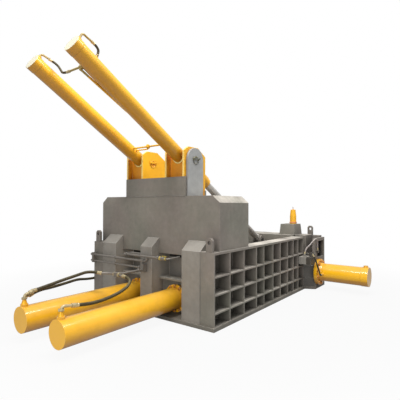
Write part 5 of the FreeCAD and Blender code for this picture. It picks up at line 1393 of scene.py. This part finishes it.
class BALER_OT_window_shade(bpy.types.Operator):
    """Dark inner plate and upright bars that show through the side frame's window: painted shade
    for the frame's dark inside
    """
    bl_idname = "baler.window_back"
    bl_label = "Window back"

    def execute(self, context):
        stock = Stock()
        stock.block(*WINDOW_SHADE_PLATE, 0.001)
        low, high = BAR_ENDS
        for x, radius in WINDOW_BARS:
            stock.bar(Vector((x, BAR_Y, low)), Vector((x + BAR_LEAN, BAR_Y, high)), radius)
        add_piece("window_back", stock.mesh("window_back"), "inner_dark", "root")
        return {"FINISHED"}


class BALER_OT_lock_trim(bpy.types.Operator):
    """Marker ring round the foot of the lid's lock cylinder"""
    bl_idname = "baler.lock_trim"
    bl_label = "Lock trim"

    def execute(self, context):
        stock = Stock()
        ring = [(0.073, 0), (0.078, 0.003), (0.078, 0.014), (0.073, 0.018), (0.066, 0.018),
                (0.066, 0), (0.073, 0)]
        stock.turned(ring, aim(LOCK_BASE + Vector((0, 0, 0.022)), (0, 0, 1)), 40)
        add_piece("lock_ring", stock.mesh("lock_ring"), "marker_red", "root")
        return {"FINISHED"}


class BALER_OT_stage(bpy.types.Operator):
    """Floor, lamps, sky and camera"""
    bl_idname = "baler.stage"
    bl_label = "Stage"

    def execute(self, context):
        scene = context.scene
        light = scene.baler_stage
        add_floor(scene)
        add_sky(scene, light.sky)
        add_lamp("roof_light", power=light.overhead, **ROOF_LIGHT)
        add_lamp("front_light", power=light.front, **FRONT_LIGHT)
        add_camera(scene)
        scene.view_settings.view_transform = "Standard"
        return {"FINISHED"}


def add_floor(scene):
    """A wide floor just under the press."""
    far = 60.0
    mesh = bpy.data.meshes.new("floor")
    mesh.from_pydata([(-far, -far, -0.001), (far, -far, -0.001), (far, far, -0.001),
                      (-far, far, -0.001)], [], [(0, 1, 2, 3)])
    mesh.materials.append(floor_paint())
    floor = bpy.data.objects.new("floor", mesh)
    scene.collection.objects.link(floor)


def add_camera(scene):
    """The photograph's viewpoint."""
    eye = bpy.data.cameras.new("photo_view")
    eye.lens = EYE_LENS
    eye.sensor_width = 36.0
    eye.shift_x, eye.shift_y = EYE_SHIFT
    eye.clip_end = 400.0
    camera = bpy.data.objects.new("photo_view", eye)
    scene.collection.objects.link(camera)
    camera.matrix_world = eye_place()
    scene.camera = camera


def eye_place():
    """The camera's matrix, from its place and its yaw, pitch and roll."""
    ahead = Vector((math.cos(EYE_YAW) * math.cos(EYE_PITCH),
                    math.sin(EYE_YAW) * math.cos(EYE_PITCH), -math.sin(EYE_PITCH)))
    level = Vector((math.sin(EYE_YAW), -math.cos(EYE_YAW), 0.0))
    down = ahead.cross(level)
    right = math.cos(EYE_ROLL) * level + math.sin(EYE_ROLL) * down
    lower = -math.sin(EYE_ROLL) * level + math.cos(EYE_ROLL) * down
    turn = Matrix((right, -lower, -ahead)).transposed().to_4x4()
    return Matrix.Translation(EYE) @ turn


def add_lamp(name, power, place, target, size):
    """A soft lamp at place that shines on target."""
    data = bpy.data.lights.new(name, "AREA")
    data.shape = "RECTANGLE"
    data.size, data.size_y = size
    data.energy = power
    lamp = bpy.data.objects.new(name, data)
    bpy.context.scene.collection.objects.link(lamp)
    lamp.location = place
    way = Vector(target) - Vector(place)
    lamp.rotation_euler = way.to_track_quat("-Z", "Y").to_euler()


def seen_share(bench, glossy):
    """1 for what the camera sees, and glossy for what shines back from paint and metal."""
    path = bench.add("ShaderNodeLightPath").outputs
    return bench.maths("MAXIMUM", path["Is Camera Ray"],
                       bench.maths("MULTIPLY", path["Is Glossy Ray"], glossy))


def floor_paint():
    """Pale floor that fades into the white background away from the press."""
    material = bpy.data.materials.new("floor_pale")
    material.use_nodes = True
    bench = Bench(material.node_tree)
    bench.tree.nodes.remove(material.node_tree.nodes["Principled BSDF"])
    spot = bench.place()
    tone = bench.noise(spot, 0.7, 3.0)
    colour = bench.blend(tone, (0.36, 0.36, 0.35, 1.0), (0.41, 0.41, 0.40, 1.0))
    matt = bench.add("ShaderNodeBsdfDiffuse", {"Color": colour})
    glow = bench.add("ShaderNodeEmission", {"Color": (1, 1, 1, 1), "Strength": 1.0})
    away = bench.add("ShaderNodeVectorMath", {0: spot}, operation="LENGTH").outputs["Value"]
    share = bench.maths("MULTIPLY", bench.span(away, 2.6, 6.0, 0.92, 1.0, True),
                        seen_share(bench, 0.25))
    mixed = bench.add("ShaderNodeMixShader", {0: share, 1: matt.outputs[0],
                                              2: glow.outputs[0]})
    bench.plug(material.node_tree.nodes["Material Output"], "Surface", mixed.outputs[0])
    return material


def add_sky(scene, strength):
    """Even light from all round, in front of a white background."""
    world = bpy.data.worlds.new("studio")
    world.use_nodes = True
    scene.world = world
    bench = Bench(world.node_tree)
    around = world.node_tree.nodes["Background"]
    bench.plug(around, "Color", (0.93, 0.96, 1.0, 1.0))
    bench.plug(around, "Strength", strength)
    white = bench.add("ShaderNodeBackground", {"Color": (1, 1, 1, 1), "Strength": 1.0})
    mixed = bench.add("ShaderNodeMixShader", {0: seen_share(bench, 0.2),
                                              1: around.outputs[0], 2: white.outputs[0]})
    bench.plug(world.node_tree.nodes["World Output"], "Surface", mixed.outputs[0])


class BALER_PT_looks(bpy.types.Panel):
    """Pieces, colours and sizes of the baler"""
    bl_idname = "BALER_PT_looks"
    bl_label = "Recycling baler"
    bl_space_type = "VIEW_3D"
    bl_region_type = "UI"
    bl_category = "Baler"

    def draw(self, context):
        for step in STEPS:
            self.layout.operator(step.bl_idname)
        for group in ("baler_colours", "baler_sizes", "baler_stage"):
            settings = getattr(context.scene, group)
            box = self.layout.box()
            for name in settings.__annotations__:
                box.prop(settings, name)


STEPS = (BALER_OT_paints, BALER_OT_frame_paint, BALER_OT_cylinder_paint,
         BALER_OT_flange_bolts, BALER_OT_welds, BALER_OT_hoses, BALER_OT_pipe_fittings,
         BALER_OT_trunnion_trim, BALER_OT_lid_feed_pipe, BALER_OT_window_shade,
         BALER_OT_lock_trim, BALER_OT_stage)
SETTINGS = (("baler_colours", BalerColours), ("baler_sizes", BalerSizes),
            ("baler_stage", BalerStage))


def register():
    for name, kind in SETTINGS:
        bpy.utils.register_class(kind)
        setattr(bpy.types.Scene, name, bpy.props.PointerProperty(type=kind))
    for kind in STEPS + (BALER_PT_looks,):
        bpy.utils.register_class(kind)


def unregister():
    for kind in reversed(STEPS + (BALER_PT_looks,)):
        bpy.utils.unregister_class(kind)
    for name, kind in reversed(SETTINGS):
        delattr(bpy.types.Scene, name)
        bpy.utils.unregister_class(kind)


def main():
    """Dresses the press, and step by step."""
    register()
    for step in STEPS:
        group, name = step.bl_idname.split(".")
        getattr(getattr(bpy.ops, group), name)()


if __name__ == "__main__":
    main()
